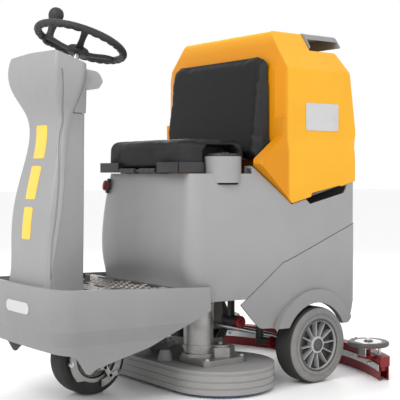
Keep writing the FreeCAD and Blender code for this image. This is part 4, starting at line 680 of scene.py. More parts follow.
# ---- steering wheel -------------------------------------------------------------------------
@dataclass
class SteeringWheel:
    """Rim with finger scallops, three dished spokes, a capped hub and a mushroom spinner knob."""

    tilt: float = math.radians(19.5)
    radius: float = 0.142
    tube: float = 0.0125
    setback: float = 0.228
    height: float = 1.138
    hub_drop: float = 0.028
    spokes: tuple[float, ...] = (95.0, 215.0, 335.0)
    spoke_root: float = 0.022
    spoke_half: float = 0.013
    knob_angle: float = math.radians(200.0)
    knob_stem: float = 0.0131
    knob_rise: float = 0.092
    scallops: int = 30

    def frame(self) -> Matrix:
        """Placement of the wheel: origin at the rim's centre, +Z up the shaft."""
        centre = Vector((0.0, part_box("front_cowl")[0].y + self.setback, self.height))
        return axis_slope(centre, self.tilt)

    def build(self) -> None:
        """Make the wheel and its knob."""
        place = self.frame()
        self.rim().move(place).finish("steering", Finish.WHEEL_GRIP, 50.0, ("steering_wheel",))
        self.spider().move(place).finish("steering", Finish.WHEEL_GRIP, 30.0)
        self.cap().move(place).finish("steering", Finish.DARK, 40.0)
        self.knob(place)

    def rim(self) -> Workpiece:
        """Torus whose underside is drawn in between the fingers."""
        rim = Workpiece("steering_rim", bpy.ops.mesh.primitive_torus_add, major_radius=self.radius,
                        minor_radius=self.tube, major_segments=self.scallops * 8, minor_segments=20)
        for vertex in rim.obj.data.vertices:
            angle = math.atan2(vertex.co.y, vertex.co.x)
            under = max(0.0, -vertex.co.z / self.tube)
            grip = 0.5 - 0.5 * math.cos(self.scallops * angle)
            ring = Vector((math.cos(angle), math.sin(angle), 0.0)) * self.radius
            vertex.co = ring + (vertex.co - ring) * (1.0 - 0.20 * under * grip ** 2)
        return rim

    def spider(self) -> Workpiece:
        """Hub and spokes; each spoke is a tapered, dished bar that widens into the rim."""
        hub = cylinder("steering_spider", 0.034, 0.020, (0, 0, -self.hub_drop - 0.004))
        hub.faces(lambda c, n: n.z > 0.9, (bpy.ops.mesh.inset, {"thickness": 0.006}),
                  (bpy.ops.transform.translate, {"value": (0, 0, 0.004)}))
        hub.round_edges(0.002)
        return hub.join(self.spoke(angle) for angle in self.spokes)

    def spoke(self, degrees: float) -> Workpiece:
        """One spoke, bent up to the rim, with a wider root and tip."""
        length = self.radius - 0.018
        bar = block("spoke", (self.spoke_root, -self.spoke_half, -0.006), (length, self.spoke_half, 0.006))
        bar.points(lambda co: True, (bpy.ops.mesh.subdivide, {"number_cuts": 5}))
        for vertex in bar.obj.data.vertices:
            share = (vertex.co.x - self.spoke_root) / (length - self.spoke_root)
            lift = share * share * (3.0 - 2.0 * share)
            waist = 1.0 - 0.26 * math.sin(math.pi * share)
            vertex.co.y *= waist
            crown = 0.003 * (1.0 - abs(vertex.co.y) / self.spoke_half)
            vertex.co.z += crown - self.hub_drop * (1.0 - lift)
            vertex.co.x += 0.010 * share
        bar.round_edges(0.0022, 2, 40.0)
        return bar.move(Matrix.Rotation(math.radians(degrees), 4, "Z"))

    def cap(self) -> Workpiece:
        """Domed centre cap with a shallow ring."""
        profile = [(0, 0.007), (0.010, 0.0066), (0.016, 0.0052), (0.0175, 0.0038), (0.019, 0.0046),
                   (0.024, 0.0020), (0.026, 0), (0.026, -0.004), (0, -0.004)]
        return turned("steering_cap", profile, 56).move(Matrix.Translation((0, 0, 0.009 - self.hub_drop)))

    def knob(self, place: Matrix) -> None:
        """Mushroom knob on its stem, and the clamp that holds it to the rim."""
        centre = Matrix.Rotation(self.knob_angle, 4, "Z") @ Matrix.Translation((self.radius, 0.0, 0.0))
        stem, head = self.knob_stem, self.knob_rise
        crown = [(0, 0.026), (0.010, 0.0252), (0.018, 0.0205), (0.0235, 0.013), (0.0260, 0.003),
                 (0.0250, -0.007), (0.0205, -0.018), (0.0150, -0.034), (0.0118, -0.052), (0.0112, -0.066)]
        foot = [(0.0140, 0.006), (0.0150, 0.001), (0.0140, 0), (0, 0)]
        profile = [(r, z + head) for r, z in crown] + [(r, z + stem) for r, z in foot]
        knob = turned("spinner_knob", profile, 64).modify("SUBSURF", levels=1, render_levels=1)
        knob.move(place @ centre).finish("knob", Finish.WHEEL_GRIP, 60.0, ("steering_knob",))
        clamp = Workpiece("knob_clamp", bpy.ops.mesh.primitive_torus_add, major_radius=self.tube + 0.0008,
                          minor_radius=0.0022, major_segments=40, minor_segments=10)
        clamp.move(Matrix.Scale(5.0, 4, Vector((0, 0, 1))))
        clamp.move(place @ centre @ Matrix.Rotation(math.pi / 2, 4, "X"))
        clamp.finish("steering", Finish.DARK, 60.0)


# ---- wheels ---------------------------------------------------------------------------------
@dataclass
class RearWheel:
    """Solid tyre, black dish, twelve fine ribs and a capped hub, on the left; the right is its mirror."""

    width: float = 0.090
    radius: float = 0.130
    seat: float = 0.090
    ribs: int = 12

    def build(self) -> None:
        """Make both wheels."""
        low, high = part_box("rear_tyre_left")
        self.width = high.x - low.x
        self.radius = (high.z - low.z) / 2
        centre = middle("rear_tyre_left")
        centre.x = high.x
        place = axis_to((1, 0, 0), centre, math.radians(4.0))
        for make, stem, finish, angle, nodes in (
                (self.tyre, "rear_tread", Finish.TYRE, 32.0, ("rear_tyre",)),
                (self.dish, "wheel_dish", Finish.DARK, 30.0, ("rear_rim",)),
                (self.rib_ring, "wheel_ribs", Finish.SILVER, 30.0, ()),
                (self.cap, "wheel_cap", Finish.DARK, 40.0, ())):
            piece = make(stem + "_left").move(place)
            twin = mirrored(piece, stem + "_right")
            piece.finish("rear_wheel_left", finish, angle, tuple(n + "_left" for n in nodes))
            twin.finish("rear_wheel_right", finish, angle, tuple(n + "_right" for n in nodes))

    def tyre(self, name: str) -> Workpiece:
        """Tyre in section: flat tread, rounded shoulders and two raised sidewall rings."""
        r, s, w = self.radius, self.seat, self.width
        outer = [(s, -0.002), (s + 0.003, 0), (s + 0.010, -0.0005), (s + 0.0115, -0.003),
                 (s + 0.0165, -0.003), (s + 0.018, -0.001), (r - 0.012, -0.001), (r - 0.006, -0.0045),
                 (r - 0.0015, -0.012), (r, -0.022)]
        inner = [(radius, -w - z) for radius, z in reversed(outer)]
        return turned(name, outer + inner, 128, True)

    def dish(self, name: str) -> Workpiece:
        """Wheel centre: a lipped barrel, a deep web and a hub tube on the axle."""
        s, w = self.seat - 0.0005, self.width
        profile = [(s, -0.0025), (s - 0.004, -0.0005), (s - 0.0065, -0.002), (s - 0.008, -0.012),
                   (s - 0.010, -0.030), (0.024, -0.034), (0.0225, -0.012), (0.0102, -0.012),
                   (0.0102, 0.006 - w), (0.024, 0.006 - w), (0.026, -0.044), (s - 0.012, -0.044),
                   (s - 0.006, 0.004 - w), (s, 0.004 - w)]
        return turned(name, profile, 96, True)

    def rib_ring(self, name: str) -> Workpiece:
        """Thin ribs from the hub ring to a thin outer ring."""
        hub_profile = [(0.0265, -0.006), (0.0290, -0.0085), (0.0290, -0.030), (0.0225, -0.030),
                       (0.0225, -0.006)]
        edge_profile = [(0.0815, -0.0035), (0.0838, -0.0030), (0.0838, -0.014), (0.0815, -0.014)]
        hub = turned(name, hub_profile, 64, True)
        edge = turned("rib_edge", edge_profile, 96, True)
        rib = block("rib", (0.026, -0.0014, -0.030), (0.0825, 0.0014, -0.0105))
        rib.points(lambda co: co.x > 0.08, (bpy.ops.transform.resize, {"value": (1, 0.75, 1)}))
        rib.points(lambda co: co.x > 0.08 and co.z > -0.02,
                   (bpy.ops.transform.translate, {"value": (0, 0, 0.0035)}))
        rib.round_edges(0.0006, 1)
        return hub.join([edge, around(rib, self.ribs)])

    def cap(self, name: str) -> Workpiece:
        """Domed cap over the axle's end."""
        profile = [(0, -0.0020), (0.012, -0.0026), (0.0185, -0.0046), (0.0222, -0.0080), (0.0222, -0.0135),
                   (0, -0.0135)]
        return turned(name, profile, 56)


@dataclass
class SeatBase:
    """Black skirt that hangs from the seat pan and shuts the gap over the body's deck."""

    wall: float = 0.0035
    inset: float = 0.006
    height: float = 0.034
    air: float = 0.001
    hinge_half: float = 0.116
    hinge_depth: float = 0.062
    boss_gap: Point = (0.020, 0.022, 0.0)

    def build(self) -> None:
        """Make the skirt round the frame's seat pan, stepped round the hinge and the filler boss."""
        low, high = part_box("seat_pan")
        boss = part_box("filler_cap")[0] - Vector(self.boss_gap)
        side, front, back = high.x - self.inset, low.y + self.inset, high.y - self.inset
        step = front + self.hinge_depth
        hinge = self.hinge_half
        route = [(-side, back), (-side, front), (-hinge, front), (-hinge, step), (hinge, step),
                 (hinge, front), (side, front), (side, boss.y), (boss.x, boss.y)]
        base = low.z + self.air
        half = self.wall / 2
        top = base + self.height
        walls = []
        for start, end in zip(route, route[1:]):
            x0, x1 = sorted((start[0], end[0]))
            y0, y1 = sorted((start[1], end[1]))
            walls.append(block("seat_skirt", (x0 - half, y0 - half, base), (x1 + half, y1 + half, top)))
        skirt = walls[0].join(walls[1:])
        skirt.round_edges(0.0006, 1).finish("seat", Finish.DARK, 40.0)


@dataclass
class DriveWheel:
    """Steered drive wheel: its tyre, the cast guard's bolts, and the bright brake strap."""

    guard_out: float = 0.0098
    lug_ring: float = 0.092
    lugs: tuple[float, ...] = (25.0, 105.0, 185.0)
    strap_route: tuple[tuple[float, float], ...] = ((0.006, -0.030), (0.034, -0.030), (0.052, -0.062),
                                                    (0.084, -0.050))

    def build(self) -> None:
        """Make the pieces round the frame's wheel and fork."""
        low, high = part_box("front_tyre")
        centre = middle("front_tyre")
        radius, half = (high.z - low.z) / 2, (high.x - low.x) / 2
        outer = [(0.0785, half - 0.001), (0.090, half), (0.0915, half - 0.0015), (0.1045, half - 0.0015),
                 (0.106, half - 0.0005), (radius - 0.007, half - 0.004), (radius - 0.002, half - 0.010),
                 (radius, half - 0.020)]
        profile = outer + [(r, -z) for r, z in reversed(outer)]
        tyre = turned("drive_tread", profile, 128, True).move(axis_to((1, 0, 0), centre))
        tyre.finish("front_wheel", Finish.DRIVE_TYRE, 32.0, ("front_tyre",))
        self.hub_face(centre, half)
        face = half + self.guard_out
        for i, degrees in enumerate(self.lugs):
            a = math.radians(degrees)
            spot = centre + Vector((face, self.lug_ring * math.cos(a), self.lug_ring * math.sin(a)))
            bolt = hex_bolt(f"guard_bolt_{i + 1}", 0.0055, 0.004).move(axis_to((1, 0, 0), spot))
            bolt.finish("fork", Finish.ZINC)
        self.strap(centre, face)

    def hub_face(self, centre: Vector, half: float) -> None:
        """Motor's finned end plate, seen inside the guard."""
        profile = [(0, 0.004), (0.018, 0.004), (0.020, 0.0), (0.034, -0.004), (0.036, -0.001),
                   (0.060, -0.003), (0.0645, -0.008), (0.0645, -0.018), (0, -0.018)]
        plate = turned("motor_end_plate", profile, 72)
        fins = around(block("fin", (0.030, -0.0012, -0.006), (0.058, 0.0012, 0.0015)), 16)
        plate.join([fins]).move(axis_to((1, 0, 0), (centre.x + half - 0.006, centre.y, centre.z)))
        plate.finish("fork", Finish.BLACK_STEEL, 40.0)

    def strap(self, centre: Vector, face: float) -> None:
        """Angled flat strap, bolted at each end, low at the rear of the guard."""
        x = centre.x + face
        legs = []
        for (y0, z0), (y1, z1) in zip(self.strap_route, self.strap_route[1:]):
            run = math.hypot(y1 - y0, z1 - z0)
            leg = block("brake_strap", (-0.0015, -0.004, -0.008), (0.0015, run + 0.004, 0.008))
            turn = Matrix.Rotation(math.atan2(z1 - z0, y1 - y0), 4, "X")
            legs.append(leg.move(Matrix.Translation((x + 0.001, centre.y + y0, centre.z + z0)) @ turn))
        legs[0].join(legs[1:]).round_edges(0.0005, 1).finish("fork", Finish.SILVER)
        for i, (y, z) in enumerate((self.strap_route[0], self.strap_route[-1])):
            spot = (x + 0.0026, centre.y + y, centre.z + z)
            bolt = hex_bolt(f"strap_bolt_{i + 1}", 0.0045, 0.003).move(axis_to((1, 0, 0), spot))
            bolt.finish("fork", Finish.BLACK_STEEL)


# ---- small hardware -------------------------------------------------------------------------
def hex_bolt(name: str, across: float, height: float) -> Workpiece:
    """Hexagon head on a washer, standing on z = 0."""
    head = cylinder(name, across, height, (0, 0, height / 2 + 0.001), 6)
    head.faces(lambda c, n: n.z > 0.9, (bpy.ops.mesh.inset, {"thickness": across * 0.16}),
               (bpy.ops.transform.translate, {"value": (0, 0, height * 0.12)}))
    washer = cylinder("washer", across * 1.5, 0.0014, (0, 0, 0.0007), 24)
    return head.join([washer])


def pan_screw(name: str, radius: float) -> Workpiece:
    """Domed screw with a hexagon socket, standing on z = 0."""
    rim = radius * 0.42
    profile = [(0, rim * 0.3), (radius * 0.42, rim * 0.3), (radius * 0.44, rim), (radius * 0.74, rim * 0.92),
               (radius, rim * 0.30), (radius, 0), (0, 0)]
    return turned(name, profile, 24)


# ---- platform -------------------------------------------------------------------------------
PLATE = 0.003
PLATE_SCREWS = tuple((x, y) for x in (-0.228, 0.228) for y in (-0.040, 0.150))
COLUMN_ROOM = (0.0, -0.552, 0.112, 0.500)
PEDAL_ROOM = (-0.140, 0.013, 0.056, 0.063)


@dataclass
class TreadPlate:
    """Raised bars in a basket pattern and rubber-lined drain slots on the footplate."""

    pitch: float = 0.016
    bar: float = 0.0115
    slots: tuple[tuple[float, float], ...] = tuple((x, y) for y in (0.015, 0.150)
                                                   for x in (-0.150, -0.050, 0.050, 0.150))

    def build(self) -> None:
        """Make the bars and the slot liners."""
        low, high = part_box("footplate")
        axle_y = middle("front_tyre").y
        top = low.z + PLATE
        seed = self.lozenge()
        bars = []
        for row in range(int((high.y - low.y) / self.pitch)):
            y = low.y + (row + 0.5) * self.pitch
            for col in range(-18, 19):
                x = col * self.pitch + (row % 2) * self.pitch / 2
                if self.clear(x, y - axle_y, low.y - axle_y, high.y - axle_y):
                    turn = Matrix.Rotation(math.radians(45.0 if (row + col) % 2 else -45.0), 4, "Z")
                    bars.append(seed.copy("bar", Matrix.Translation((x, y, top)) @ turn))
        seed.join(bars).finish("chassis", Finish.TREAD, 50.0)
        spots = [Matrix.Translation((x, axle_y + y, top)) for x, y in self.slots]
        scattered(self.liner(), spots).finish("chassis", Finish.DARK, 40.0)

    def clear(self, x: float, y: float, front: float, rear: float) -> bool:
        """True where a bar lies on open plate, clear of the column, pedal, slots, screws and edge.

        Args:
            x: the bar's place across the plate.
            y: its place behind the front axle.
            front: the plate's front edge, behind the axle.
            rear: the plate's rear edge, behind the axle.
        """
        edge = 0.262 + 0.05 * (y - front)
        inside = abs(x) < edge - 0.010 and front + 0.008 < y < rear - 0.010
        rooms = [COLUMN_ROOM, PEDAL_ROOM, *((*spot, 0.034, 0.018) for spot in self.slots),
                 *((*spot, 0.014, 0.014) for spot in PLATE_SCREWS)]
        return inside and not any(abs(x - at_x) < half_x and abs(y - at_y) < half_y
                                  for at_x, at_y, half_x, half_y in rooms)

    def lozenge(self) -> Workpiece:
        """One raised bar: a low, long hexagonal ridge with chamfered ends."""
        bar = block("tread_bars", (-self.bar / 2, -0.0022, -0.0004), (self.bar / 2, 0.0022, 0.0014))
        bar.faces(lambda c, n: n.z > 0.9, (bpy.ops.transform.resize, {"value": (0.72, 0.45, 1)}))
        bar.points(lambda co: co.z < 0, (bpy.ops.transform.resize, {"value": (1.0, 0.9, 1)}))
        return bar

    def liner(self) -> Workpiece:
        """Oval lip round a drain slot with a dark floor."""
        ring = cylinder("slot_liners", 0.0095, 0.0022, (0, 0, 0.0006), 32)
        ring.points(lambda co: co.x > 0.0, (bpy.ops.transform.translate, {"value": (0.0140, 0, 0)}))
        ring.points(lambda co: co.x < 0.0, (bpy.ops.transform.translate, {"value": (-0.0140, 0, 0)}))
        ring.faces(lambda c, n: n.z > 0.9, (bpy.ops.mesh.inset, {"thickness": 0.0025}),
                   (bpy.ops.transform.translate, {"value": (0, 0, -0.0016)}))
        return ring


@dataclass
class Bodywork:
    """Trim of the covers: flashes, blank badges, screws, the button's collar and the filler's fittings."""

    flashes: tuple[Point, ...] = ((0.815, 0.070, 0.104), (0.688, 0.063, 0.104), (0.562, 0.056, 0.100))
    button_facing: Point = (-0.48, -0.86, 0.17)

    def build(self) -> None:
        """Make all the trim."""
        self.column_flash()
        self.bumper_badge()
        self.tank_badge()
        self.button_collar()
        self.filler()
        self.screws()
        self.binnacle()

    def decal(self, name: str, size: tuple[float, float], corner: float, place: Matrix, onto: str, body: str,
              finish: Finish, thick: float = 0.0008) -> None:
        """A thin plate laid on a cover's surface.

        Args:
            name: the piece's name.
            size: width and height.
            corner: radius of its corners.
            place: where its flat sheet starts; it is laid down along -Z of this.
            onto: the frame's node that it follows.
            body: the body that it rides on.
            finish: its finish.
            thick: how far it stands proud.
        """
        sheet = Workpiece(name, bpy.ops.mesh.primitive_grid_add, x_subdivisions=24, y_subdivisions=36,
                          size=1.0)
        half_w, half_h = size[0] / 2, size[1] / 2
        for vertex in sheet.obj.data.vertices:
            x, y = vertex.co.x * size[0], vertex.co.y * size[1]
            over_x, over_y = abs(x) - (half_w - corner), abs(y) - (half_h - corner)
            if over_x > 0 and over_y > 0:
                scale = max(over_x, over_y) / math.hypot(over_x, over_y)
                x = math.copysign(half_w - corner + over_x * scale, x)
                y = math.copysign(half_h - corner + over_y * scale, y)
            vertex.co = (x, y, 0.0)
        sheet.move(place)
        sheet.activate()
        wrap = sheet.obj.modifiers.new("lay", "SHRINKWRAP")
        wrap.target = bpy.data.objects[onto]
        wrap.wrap_method = "PROJECT"
        wrap.use_negative_direction = wrap.use_positive_direction = True
        wrap.use_project_x = wrap.use_project_y = wrap.use_project_z = False
        towards = place.to_3x3() @ Vector((0, 0, 1))
        axis = max(range(3), key=lambda i: abs(towards[i]))
        setattr(wrap, ("use_project_x", "use_project_y", "use_project_z")[axis], True)
        wrap.offset = 0.0002
        bpy.ops.object.modifier_apply(modifier=wrap.name)
        sheet.modify("SOLIDIFY", thickness=thick, offset=1.0)
        sheet.finish(body, finish, 40.0)

    def column_flash(self) -> None:
        """Plain yellow flash down the front of the column: three bars that narrow downwards."""
        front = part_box("front_cowl")[0].y
        facing = Matrix.Rotation(math.pi / 2, 4, "X")
        for i, (z, width, height) in enumerate(self.flashes):
            place = Matrix.Translation((0.0, front - 0.02, z)) @ facing
            self.decal(f"column_flash_{i + 1}", (width, height), 0.008, place, "front_cowl", "chassis",
                       Finish.FLASH)

    def bumper_badge(self) -> None:
        """Blank oval badge in the middle of the bumper."""
        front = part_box("front_cowl")[0].y
        place = Matrix.Translation((0.0, front - 0.02, 0.305)) @ Matrix.Rotation(math.pi / 2, 4, "X")
        self.decal("bumper_badge", (0.150, 0.036), 0.0179, place, "front_cowl", "chassis", Finish.BLANK,
                   0.0015)

    def tank_badge(self) -> None:
        """Blank plate on each side of the recovery tank."""
        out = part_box("recovery_tank")[1].x + 0.02
        y = middle("recovery_tank").y + 0.055
        for side, name in ((1.0, "left"), (-1.0, "right")):
            turn = Matrix.Rotation(side * math.pi / 2, 4, "Y") @ Matrix.Rotation(side * math.pi / 2, 4, "Z")
            place = Matrix.Translation((side * out, y, 0.910)) @ turn
            self.decal(f"tank_badge_{name}", (0.156, 0.094), 0.007, place, "recovery_tank", "tank",
                       Finish.BLANK, 0.0012)

    def button_collar(self) -> None:
        """Dark collar behind the emergency button's head, and the head's own domed cap."""
        normal = Vector(self.button_facing).normalized()
        place = axis_to(normal, middle("emergency_button") - normal * 0.008)
        profile = [(0.0200, 0.0065), (0.0258, 0.0065), (0.0268, 0.0085), (0.0262, 0.0150), (0.0235, 0.0165),
                   (0.0208, 0.0150)]
        turned("stop_button_collar", profile, 56, True).move(place).finish("chassis", Finish.DARK)
        dome = [(0, 0.0300), (0.008, 0.0296), (0.014, 0.0280), (0.0178, 0.0250), (0.0188, 0.0215),
                (0.0182, 0.0175), (0.0150, 0.0162), (0.0088, 0.0160), (0.0088, -0.010), (0, -0.010)]
        head = turned("stop_button_head", dome, 56).move(place)
        head.finish("stop_button", Finish.RED, 50.0, ("emergency_button",))

    def filler(self) -> None:
        """Filler cap with a grip bar and a keyed middle, its collar and the strap that keeps it."""
        centre = middle("filler_cap")
        centre.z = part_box("filler_cap")[1].z - 0.018
        at = Matrix.Translation(centre)
        profile = [(0, 0.0060), (0.012, 0.0060), (0.0135, 0.0075), (0.030, 0.0075), (0.032, 0.0100),
                   (0.047, 0.0112), (0.0515, 0.0100), (0.0535, 0.0060), (0.0535, 0.0006), (0.041, 0.0006),
                   (0.041, -0.020), (0, -0.020)]
        cap = turned("filler_cap_top", profile, 72)
        rib = block("rib", (0.0525, -0.0018, 0.0012), (0.0548, 0.0018, 0.0088)).round_edges(0.0006, 1)
        grip = block("grip", (-0.029, -0.0045, 0.006), (0.029, 0.0045, 0.0150)).round_edges(0.002, 2)
        cap.join([around(rib, 24), grip]).move(at).finish("cap", Finish.DARK, 35.0, ("filler_cap",))
        barrel = [(0, 0.0165), (0.006, 0.0165), (0.0075, 0.0155), (0.0075, 0.012), (0, 0.012)]
        turned("filler_lock", barrel, 32).move(at).finish("cap", Finish.BLACK_STEEL)
        ring = [(0.0565, -0.0004), (0.0600, -0.0004), (0.0612, 0.0014), (0.0600, 0.0030), (0.0570, 0.0030),
                (0.0560, 0.0014)]
        collar = turned("filler_collar", ring, 72, True)
        strap = block("filler_strap", (-0.013, 0.052, -0.0002), (0.013, 0.092, 0.0032))
        strap.points(lambda co: co.y > 0.09, (bpy.ops.transform.translate, {"value": (0, 0, -0.012)}))
        strap.round_edges(0.001, 1)
        collar.join([strap]).move(at).finish("chassis", Finish.DARK, 40.0)

    def screws(self) -> None:
        """Cover screws and bolts, in groups."""
        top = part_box("footplate")[0].z + PLATE
        axle_y = middle("front_tyre").y
        places = [Matrix.Translation((x, axle_y + y, top)) for x, y in PLATE_SCREWS]
        scattered(pan_screw("plate_screws", 0.0068), places).finish("chassis", Finish.ZINC, 40.0)
        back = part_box("rear_skirt")[1].y - 0.0025
        rear = [axis_to((0, 1, 0), (x, back, z)) for x in (-0.24, 0.0, 0.24) for z in (0.300, 0.500)]
        scattered(pan_screw("skirt_screws", 0.0075), rear).finish("chassis", Finish.ZINC, 40.0)

    def binnacle(self) -> None:
        """Lamps and a dark window on the dash panel."""
        frame = self.head_frame()
        window = block("dash_window", (-0.018, -0.016, 0.0051), (0.016, 0.014, 0.0066)).round_edges(0.0010, 2)
        window.move(frame).finish("chassis", Finish.DARK)
        profile = [(0, 0.0075), (0.0016, 0.0072), (0.0024, 0.0062), (0.0024, 0.0050), (0, 0.0050)]
        places = [frame @ Matrix.Translation((x, 0.0175, 0)) for x in (-0.012, -0.004, 0.004, 0.012)]
        scattered(turned("dash_lamps", profile, 20), places).finish("chassis", Finish.RED, 60.0)

    def head_frame(self) -> Matrix:
        """Placement on the sloping top of the column's head, from the panel's box."""
        slope = math.atan2(66.0, 191.0)
        normal = Vector((0, math.sin(slope), math.cos(slope)))
        return axis_slope(middle("dash_panel") - normal * 0.0032, slope)


def axis_slope(origin: Vector, slope: float) -> Matrix:
    """Placement at origin whose +Z leans back towards +Y by slope."""
    return Matrix.Translation(origin) @ Matrix.Rotation(-slope, 4, "X")


@dataclass
class ScrubDeck:
    """Deck details: bolts and tufted brushes."""

    tufts: tuple[tuple[float, int], ...] = ((0.153, 44), (0.131, 38), (0.109, 32), (0.087, 26))
    bolts: tuple[tuple[float, float], ...] = ((-0.080, -0.095), (0.052, -0.095), (0.052, 0.050),
                                              (-0.030, 0.052))

    def build(self) -> None:
        """Make bolts and bristle tufts."""
        for side, name in ((1.0, "left"), (-1.0, "right")):
            centre = middle(f"brush_{name}")
            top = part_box(f"brush_motor_{name}")[0].z + 0.020
            places = [Matrix.Translation((centre.x + side * x, centre.y + y, top)) for x, y in self.bolts]
            bolts = scattered(hex_bolt(f"deck_bolts_{name}", 0.0062, 0.0048), places)
            bolts.finish("deck", Finish.ZINC, 40.0)
            self.brush(name, centre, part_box(f"brush_{name}")[0].z)

    def brush(self, name: str, centre: Vector, floor: float) -> None:
        """Rings of splayed tufts under the brush disc."""
        seed = Workpiece(f"bristles_{name}", bpy.ops.mesh.primitive_cone_add, vertices=8, radius1=0.0062,
                         radius2=0.0046, depth=0.040, location=(0, 0, 0.0205))
        copies = []
        for radius, count in self.tufts:
            for i in range(count):
                turn = Matrix.Rotation(math.tau * (i + radius * 40.0) / count, 4, "Z")
                copies.append(seed.copy("tuft", Matrix.Translation((centre.x, centre.y, floor)) @ turn
                                        @ Matrix.Translation((radius, 0, 0))))
        seed.move(Matrix.Translation((centre.x, centre.y, floor))).join(copies)
        seed.finish(f"brush_disc_{name}", Finish.BRISTLE, 50.0)


@dataclass
class SqueegeeTrim:
    """Steel band on the front blade, the rollers with their arms, and the clamp knobs."""

    curve: float = 0.936
    band_curve: float = 0.8905
    band_reach: float = 0.47
    band_steps: int = 48
    band_z: tuple[float, float] = (0.036, 0.058)
    nut_pitch: float = 0.13
    roller_radius: float = 0.072

    def build(self) -> None:
        """Make the trim round the frame's holder."""
        low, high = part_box("squeegee_holder")
        self.band(high.y - self.curve)
        for side, name in ((1.0, "left"), (-1.0, "right")):
            roller_low, roller_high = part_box(f"bumper_roller_{name}")
            centre = middle(f"bumper_roller_{name}")
            self.roller(name, centre, (roller_high.z - roller_low.z) / 2)
            self.bracket(name, side, centre, low.z + 0.050)
            base = middle(f"squeegee_knob_{name}")
            base.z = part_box(f"squeegee_knob_{name}")[0].z
            self.knob(name, base)

    def on_band(self, x: float) -> Vector:
        """Point of the band's curve at x, from the curve's centre."""
        return Vector((x, math.sqrt(self.band_curve ** 2 - x * x), 0.0))

    def band(self, centre_y: float) -> None:
        """Clamp band along the back of the front blade, with its nuts."""
        centre = Vector((0.0, centre_y, 0.0))
        route = [self.on_band(self.band_reach * (2 * i / self.band_steps - 1.0)) + centre
                 for i in range(self.band_steps + 1)]
        points = [(x, y, z) for x, y, _ in route for z in self.band_z]
        faces = [(2 * i, 2 * i + 1, 2 * i + 3, 2 * i + 2) for i in range(self.band_steps)]
        band = sketch("front_blade_band", points, [], faces).modify("SOLIDIFY", thickness=0.0016, offset=0.0)
        band.outwards().finish("squeegee", Finish.ZINC)
        spots = [self.on_band(self.nut_pitch * i) for i in range(-3, 4)]
        places = [axis_to(-spot.normalized(), spot + centre + Vector((0.0, -0.0008, sum(self.band_z) / 2)))
                  for spot in spots]
        scattered(hex_bolt("band_nuts", 0.0055, 0.005), places).finish("squeegee", Finish.ZINC, 40.0)

    def roller(self, name: str, centre: Vector, half: float) -> None:
        """Soft-edged bumper roller with a dished top, its steel plate and its bolt."""
        h = half - 0.002
        r = self.roller_radius
        profile = [(0.0155, h), (0.0170, h - 0.0015), (0.030, h - 0.0022), (r - 0.022, h - 0.0018),
                   (r - 0.014, h), (r - 0.005, h), (r - 0.0012, h - 0.0025), (r, h - 0.006), (r, 0.006 - h),
                   (r - 0.0012, 0.0025 - h), (r - 0.005, -h), (0.0155, -h), (0.0155, -h - 0.002),
                   (0.00815, -h - 0.002), (0.00815, h + 0.002), (0.0150, h + 0.002)]
        roller = turned(f"roller_rim_{name}", profile, 72, True).move(Matrix.Translation(centre))
        roller.finish(f"roller_{name}", Finish.DARK, 40.0, (f"bumper_roller_{name}",))
        plate = [(0.018, h - 0.0012), (0.047, h - 0.0008), (0.0475, h - 0.0016), (0.018, h - 0.0020)]
        disc = turned(f"roller_plate_{name}", plate, 72, True)
        disc.move(Matrix.Translation(centre)).finish(f"roller_{name}", Finish.ZINC, 40.0)
        bolt = hex_bolt(f"roller_bolt_{name}", 0.0085, 0.006)
        bolt.move(Matrix.Translation(centre + Vector((0.0, 0.0, half + 0.0015))))
        bolt.finish("squeegee", Finish.ZINC)

    def bracket(self, name: str, side: float, centre: Vector, top: float) -> None:
        """Bent steel arm under the roller, with its clamp bolt behind.

        Args:
            name: the side's name.
            side: 1 on the left and -1 on the right.
            centre: the roller's centre.
            top: height of the holder's top.
        """
        left, right, y0, under = centre.x - 0.018, centre.x + 0.018, centre.y - 0.030, centre.z - 0.0125
        arm = block(f"roller_arm_{name}", (left, y0, under - 0.004), (right, centre.y + 0.018, under))
        drop = block("drop", (left, y0 - 0.004, top - 0.004), (right, y0, under))
        arm.join([drop]).round_edges(0.0008, 1).finish("squeegee", Finish.ZINC)
        x, y = centre.x + side * 0.034, centre.y + 0.020
        stem = cylinder(f"roller_clamp_{name}", 0.0050, 0.030, (x, y, top + 0.012), 20)
        foot = hex_bolt("nut", 0.0085, 0.006).move(Matrix.Translation((x, y, top - 0.003)))
        stem.join([foot]).finish("squeegee", Finish.ZINC, 40.0)

    def knob(self, name: str, base: Vector) -> None:
        """Five-lobed clamp knob with a domed top."""
        knob = cylinder(f"clamp_knob_{name}", 0.019, 0.016, (0, 0, 0.012), 60)
        for vertex in knob.obj.data.vertices:
            angle = math.atan2(vertex.co.y, vertex.co.x)
            lobe = 1.0 - 0.16 * (0.5 - 0.5 * math.cos(5.0 * angle)) ** 2
            vertex.co.x *= lobe
            vertex.co.y *= lobe
        knob.round_edges(0.003, 3)
        neck = turned("neck", [(0.0110, 0.0), (0.0110, 0.006), (0.00415, 0.006), (0.00415, 0.0)], 32, True)
        knob.join([neck]).move(Matrix.Translation(base))
        knob.finish(f"knob_{name}", Finish.DARK, 35.0, (f"squeegee_knob_{name}",))


